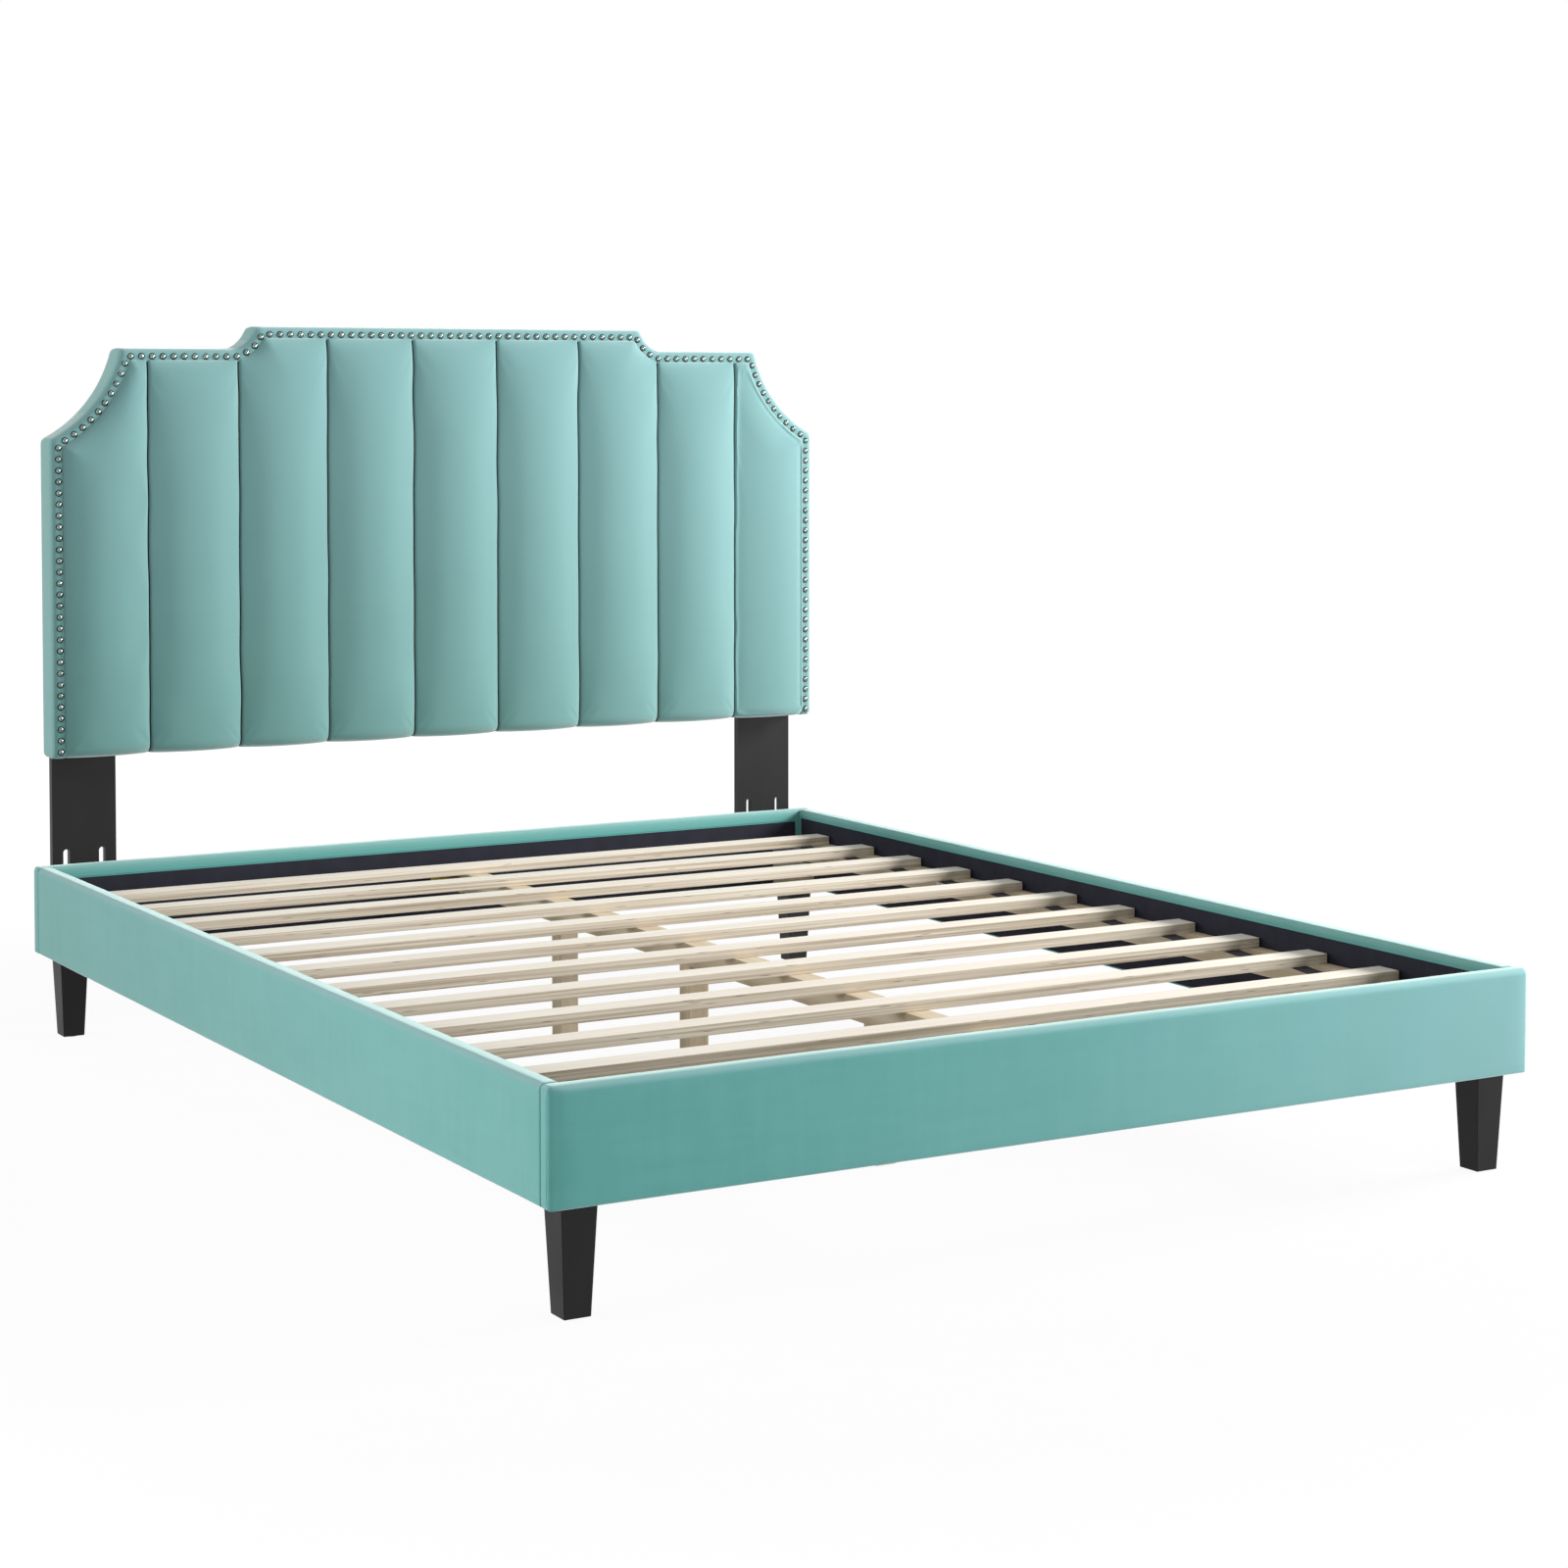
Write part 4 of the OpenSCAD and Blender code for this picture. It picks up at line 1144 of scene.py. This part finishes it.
class BED_OT_channels(Operator):
    """Fills the nine channels with padded velvet, and lets the padding settle as cloth"""

    bl_idname = "bed.channels"
    bl_label = "Headboard channels"

    # A pad's grid: columns over its front and over its back, and rows from foot to top
    FRONT_COLUMNS, BACK_COLUMNS, ROWS = 44, 5, 120
    # Points on each stretch of the edge that the pads meet
    EDGE_COUNTS = (6, 30, 4, 12, 8)
    # How far a seam wanders, and half the gap between two pads
    SEAM_WANDER = 0.002
    SEAM_GAP = 0.0002
    # Widths of the lip beside the nails and of the long rise after it, with the share of each
    RIM_RISES = ((0.4, 0.018), (0.6, 0.07))
    # How long the cloth runs, in frames, and how far it may move a point
    FRAMES = 20
    FARTHEST = 0.0045
    # Points this deep behind the crown, and this near a pad's side, are held
    HELD_DEPTH = 0.0115
    HELD_SIDE = 0.004
    # Upholstery velvet blown out a little by the padding under it
    CLOTH = {
        "quality": 4,
        "mass": 0.3,
        "tension_stiffness": 12,
        "compression_stiffness": 12,
        "shear_stiffness": 6,
        "bending_stiffness": 0.8,
        "use_pressure": True,
        "uniform_pressure_force": 4,
        "shrink_min": 0.0,
        "vertex_group_mass": "sewn",
    }

    def execute(self, context):
        shape = headboard_shape()
        pads = [self.pad(shape, i) for i in range(CHANNELS)]
        self.settle(pads)
        for i, pad in enumerate(pads):
            smooth(pad, 60)
            finish_piece(pad, HEADBOARD, "velvet", velvet("up"), f"channel_{i + 1}")
            # The faces beside each seam take a dark copy of the velvet: painted shade in the seam's groove
            pad.data.materials.append(velvet("sewn"))
            sewn = [item.value for item in pad.data.attributes["sewn"].data]
            for face in pad.data.polygons:
                face.material_index = int(min(sewn[v] for v in face.vertices) > 0.5)
            # Painted light: the colour goes paler towards the crest and the right
            paint_light_up_and_right(pad)
        return {"FINISHED"}

    def seam_x(self, shape, index, z):
        """Where a seam runs at each height. Sewn by hand, it wanders by up to two millimetres."""
        straight = (index - CHANNELS / 2) * self.pitch(shape)
        return straight + self.SEAM_WANDER * np.array([wander(index * 5.1, h / 0.085) for h in z])

    def pitch(self, shape):
        return 2 * (shape["half"] - settings("headboard").channel_edge) / CHANNELS

    def pad(self, shape, index):
        size = settings("headboard")
        inner = right_edge(shape, size.border, 0, self.EDGE_COUNTS)
        rim = whole_edge(shape, size.border, 0, self.EDGE_COUNTS)
        panel_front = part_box("headboard_panel")[0][1]
        limit = shape["half"] - size.border
        front, rows = self.FRONT_COLUMNS, self.ROWS
        columns = front + self.BACK_COLUMNS
        pitch = self.pitch(shape)
        sewn = []

        def place(u, v):
            column = u * columns
            on_front = column <= front
            # Two columns beside each seam go down into it, and are marked for the painted seam shade
            at_left = (column < 2.5) & (index > 0)
            at_right = on_front & (column > front - 2.5) & (index < CHANNELS - 1)
            sewn.extend((at_left | at_right).astype(float))
            # The first and the last row only fold back to the panel
            row = v * (rows + 2)
            folded = (row < 0.5) | (row > rows + 1.5)
            v = np.clip((row - 1) / rows, 0, 1)
            share = np.where(on_front, column / front, 1 - (column - front) / self.BACK_COLUMNS)
            # Columns crowd towards the seams
            eased = 0.5 - 0.5 * np.cos(math.pi * share)
            share = np.where(on_front, 0.06 * share + 0.94 * eased, share)
            guess = shape["bottom"] + v * (shape["crest"] - shape["bottom"])
            left = self.seam_x(shape, index, guess) + self.SEAM_GAP
            right = self.seam_x(shape, index + 1, guess) - self.SEAM_GAP
            if index == 0:
                left = np.full_like(left, -limit)
            if index == CHANNELS - 1:
                right = np.full_like(right, limit)
            x = left + share * (right - left)
            from_left = x - left if index > 0 else np.full_like(x, pitch)
            from_right = right - x if index < CHANNELS - 1 else np.full_like(x, pitch)
            swell = self.swelling(from_left, pitch / 2) * self.swelling(from_right, pitch / 2)
            seam = np.minimum(from_left, from_right)
            top = height_of(inner, x)
            foot = shape["bottom"] + 0.002 * (1 - swell)
            # Rows crowd towards the rolled lower edge and the upper border
            rise = 0.62 * v + 0.38 * (0.5 - 0.5 * np.cos(math.pi * v))
            z = foot + rise * (top - foot)
            to_rim = distance_to(rim, np.stack([x, z], axis=1))
            to_rim = np.where(v > 0.999, 0, to_rim)
            # A steep lip beside the nails, then a long gentle rise
            rim_share = sum(a * (1 - (1 - np.clip(to_rim / wide, 0, 1)) ** 2) for a, wide in self.RIM_RISES)
            low = np.clip((z - foot) / size.bottom_roll, 0, 1)
            roll = size.bottom_roll * (1 - np.sqrt(1 - (1 - low) ** 2))
            level = shape["depth"] + 0.0004 + size.crown * swell * rim_share
            level -= size.seam_depth * np.exp(-((seam / size.seam_width) ** 1.6)) + roll
            y = np.where(on_front & ~folded, shape["back"] - level, panel_front)
            return [x, y, z]

        pad = add_grid(f"channel_pad_{index + 1}", columns, rows + 2, place)
        pad.data.attributes.new("sewn", "FLOAT", "POINT").data.foreach_set("value", sewn)
        close_shell(pad)
        return pad

    def swelling(self, distance, reach):
        """From 0 at a seam to 1 at a channel's middle: a round crown with steep flanks."""
        share = 1 - np.clip(distance / reach, 0, 1)
        return 0.6 * (1 - share**2) + 0.4 * np.sqrt(1 - share**12)

    def settle(self, pads):
        """Runs the velvet as cloth over its padding for a moment, and keeps what it did."""
        scene = bpy.context.scene
        before = []
        for pad in pads:
            points = read_points(pad)
            low, high = points.min(axis=0), points.max(axis=0)
            held = pad.vertex_groups.new(name="sewn")
            # Held at the seams, the rim and the back, and free over the crown
            edge = np.minimum(points[:, 0] - low[0], high[0] - points[:, 0])
            fixed = (points[:, 1] > low[1] + self.HELD_DEPTH) | (edge < self.HELD_SIDE)
            held.add([int(i) for i in np.flatnonzero(fixed)], 1.0, "REPLACE")
            cloth = pad.modifiers.new("Cloth", "CLOTH")
            for name, value in self.CLOTH.items():
                setattr(cloth.settings, name, value)
            cloth.settings.effector_weights.gravity = 0
            cloth.point_cache.frame_start = 1
            cloth.point_cache.frame_end = self.FRAMES
            before.append(points)
        for at in range(1, self.FRAMES + 1):
            scene.frame_set(at)
        for pad, points in zip(pads, before):
            activate(pad)
            bpy.ops.object.modifier_apply(modifier="Cloth")
            moved = read_points(pad) - points
            far = np.linalg.norm(moved, axis=1)
            moved *= (self.FARTHEST * np.tanh(far / self.FARTHEST) / np.maximum(far, 1e-9))[:, None]
            # Sideways a point moves half as far, so the seams stay as sewn
            moved[:, 0] *= 0.5
            put_points(pad, points + moved)
            pad.vertex_groups.clear()
        scene.frame_set(1)


class BED_OT_nails(Operator):
    """Drives a row of domed nails into the headboard's border"""

    bl_idname = "bed.nails"
    bl_label = "Nailhead trim"

    # Up from a head's rim: the rise to each ring, and its width as a share of the last one's
    RINGS = ((0.0005, 0.96), (0.0003, 0.86), (0.001, 0.88), (0.0008, 0.8), (0.0005, 0.6))
    # Heights on a head, and how dark its colour is painted there: a painted dark reflection under the rim and
    # on top
    HEIGHTS = (0.0005, 0.0012, 0.0022, 0.003, 0.0032)
    PAINTED_DARKNESS = (1, 0.9, 0.1, 0.1, 0.5)
    # How deep the heads sit in the velvet, and how far they may lean, in radians
    SUNK = 0.0006
    LEAN = 0.12

    def execute(self, context):
        size = settings("headboard")
        shape = headboard_shape()
        radius = size.nail_width / 2
        deselect()
        bpy.ops.mesh.primitive_circle_add(vertices=12, radius=radius, fill_type="NGON")
        nail = bpy.context.object
        # Each ring is extruded from the last, then drawn in
        with editing(nail):
            bpy.ops.mesh.select_all(action="SELECT")
            for rise, share in self.RINGS:
                bpy.ops.mesh.extrude_region_move(TRANSFORM_OT_translate={"value": (0, 0, rise)})
                bpy.ops.transform.resize(value=(share, share, 1))
            bpy.ops.mesh.poke(offset=0.0001)
        face_outwards(nail)
        # The rim attribute paints a dark reflection under each head's rim and on its top
        rim = nail.data.attributes.new("rim", "FLOAT", "POINT")
        rim.data.foreach_set("value", np.interp(read_points(nail)[:, 2], self.HEIGHTS, self.PAINTED_DARKNESS))
        nail.data.transform(Matrix.Rotation(math.radians(90), 4, "X"))
        base = shape["back"] - shape["depth"] + self.SUNK
        copies = []
        for i, (x, z) in enumerate(nail_places(shape)):
            copy = bpy.data.objects.new(f"nail_{i}", nail.data.copy())
            bpy.context.collection.objects.link(copy)
            lean = Matrix.Rotation(self.LEAN * wander(i * 1.7), 4, "X")
            lean @= Matrix.Rotation(self.LEAN * wander(i * 2.3, 4), 4, "Z")
            copy.data.transform(Matrix.Translation((x, base, z)) @ lean)
            copies.append(copy)
        bpy.data.objects.remove(nail)
        row = join(copies, "domed_nail_row")
        smooth(row, 50)
        finish_piece(row, HEADBOARD, "nickel", nickel_plate(), "nailhead_trim")
        return {"FINISHED"}


class BED_OT_hardware(Operator):
    """Rounds and plates the screws, bolts, brackets and hangers, and finishes what stays hidden"""

    bl_idname = "bed.hardware"
    bl_label = "Hardware"

    def execute(self, context):
        for node, name, body, slot, material, width in (
            ("corner_brackets", "corner_bracket_plates", BASE, "zinc", zinc_plate(), 0.0004),
            ("corner_bolts", "corner_bolt_heads", BASE, "zinc", zinc_plate(), 0.0007),
            ("ledger_screws", "ledger_screw_heads", BASE, "zinc", zinc_plate(), 0.0004),
            ("strut_clamp_bolts", "clamp_bolt_sets", BASE, "zinc", zinc_plate(), 0.0004),
            ("beam_hangers", "beam_hanger_shoes", BASE, "yellow_zinc", yellow_zinc_plate(), 0.0005),
            ("strut_screws", "strut_screw_heads", HEADBOARD, "zinc", zinc_plate(), 0.0012),
            ("glides", "floor_glides", BASE, "glide", moulded_glide(), 0.0008),
        ):
            dress(node, name, width, body, slot, material)
        for node, material in (
            ("leg_bolts", zinc_plate()),
            ("foot_rail_board", raw_plywood()),
            ("head_rail_board", raw_plywood()),
            ("left_rail_board", raw_plywood()),
            ("right_rail_board", raw_plywood()),
            ("headboard_panel", raw_plywood()),
        ):
            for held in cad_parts[node].material_slots:
                held.material = material
        return {"FINISHED"}


class BED_OT_stage(Operator):
    """Sets the plain floor, the soft lights and the camera"""

    bl_idname = "bed.stage"
    bl_label = "Stage"

    def execute(self, context):
        view = settings("stage")
        scene = context.scene
        scene.view_settings.view_transform = "Standard"
        deselect()
        bpy.ops.mesh.primitive_plane_add(size=60)
        floor = context.object
        floor.name = floor.data.name = "plain_floor"
        floor.data.materials.append(floor_paint())
        self.surroundings(scene)
        for name, place, aim, size, power in (
            ("key_softbox", (4.9, -0.95, 2.6), (0.0, 0.8, 0.8), 2.0, 425),
            ("front_softbox", (2.4, -4.0, 0.9), (0.2, -1.0, 0.25), 1.6, 124),
            ("side_softbox", (-4.5, 2.6, 1.5), (-0.6, -0.4, 0.2), 2.4, 125),
            ("low_softbox", (-2.4, -0.8, 0.55), (-0.8, -0.9, 0.2), 0.9, 14),
            ("top_softbox", (0.0, -0.6, 4.6), (0.0, -0.2, 0.2), 3.4, 24),
        ):
            light = bpy.data.lights.new(name, "AREA")
            light.shape = "DISK"
            light.size = size
            light.energy = power
            lamp = bpy.data.objects.new(name, light)
            lamp.location = place
            lamp.rotation_euler = (Vector(aim) - Vector(place)).to_track_quat("-Z", "Y").to_euler()
            scene.collection.objects.link(lamp)
        camera = bpy.data.objects.new("camera", bpy.data.cameras.new("camera"))
        camera.data.lens = view.lens
        camera.data.sensor_width = 36
        camera.data.shift_y = view.shift
        camera.data.clip_end = 200
        camera.location = view.place
        camera.rotation_euler = (math.radians(90 - view.tilt), 0, math.radians(-view.turn))
        scene.collection.objects.link(camera)
        scene.camera = camera
        return {"FINISHED"}

    def surroundings(self, scene):
        """White all round to the eye, and a soft dim light on the bed."""
        world = bpy.data.worlds.new("white studio")
        world.use_nodes = True
        tree = world.node_tree
        tree.nodes.clear()
        soft = put(tree, "Background", {"Color": (1, 1, 1, 1), "Strength": 0.28})
        white = put(tree, "Background", {"Color": (1, 1, 1, 1), "Strength": 1.0})
        look = put(tree, "MixShader", {0: seen_directly(tree), 1: soft.outputs[0], 2: white.outputs[0]})
        put(tree, "OutputWorld", {"Surface": look.outputs[0]})
        scene.world = world


class BED_PT_pieces(Panel):
    """The bed's pieces, in the order that they are made."""

    bl_label = "Upholstered bed"
    bl_idname = "BED_PT_pieces"
    bl_space_type = "VIEW_3D"
    bl_region_type = "UI"
    bl_category = "Bed"

    def draw(self, context):
        for maker in OPERATORS:
            self.layout.operator(maker.bl_idname)
        for group in SETTINGS:
            shown = settings(group)
            box = self.layout.box()
            for name in shown.__annotations__:
                box.prop(shown, name)


SETTINGS = {
    "rails": RailSettings,
    "headboard": HeadboardSettings,
    "timber": TimberSettings,
    "colours": ColourSettings,
    "stage": StageSettings,
}
OPERATORS = (
    BED_OT_rail_covers,
    BED_OT_linings,
    BED_OT_legs,
    BED_OT_struts,
    BED_OT_slats,
    BED_OT_underframe,
    BED_OT_webbing,
    BED_OT_border,
    BED_OT_channels,
    BED_OT_nails,
    BED_OT_hardware,
    BED_OT_stage,
)


def register():
    for group, kind in SETTINGS.items():
        bpy.utils.register_class(kind)
        setattr(bpy.types.Scene, "bed_" + group, PointerProperty(type=kind))
    for kind in (*OPERATORS, BED_PT_pieces):
        bpy.utils.register_class(kind)


def unregister():
    for kind in reversed((*OPERATORS, BED_PT_pieces)):
        bpy.utils.unregister_class(kind)
    for group, kind in SETTINGS.items():
        delattr(bpy.types.Scene, "bed_" + group)
        bpy.utils.unregister_class(kind)


def main():
    register()
    for maker in OPERATORS:
        name = maker.bl_idname.split(".")[1]
        getattr(bpy.ops.bed, name)()


if __name__ == "__main__":
    main()
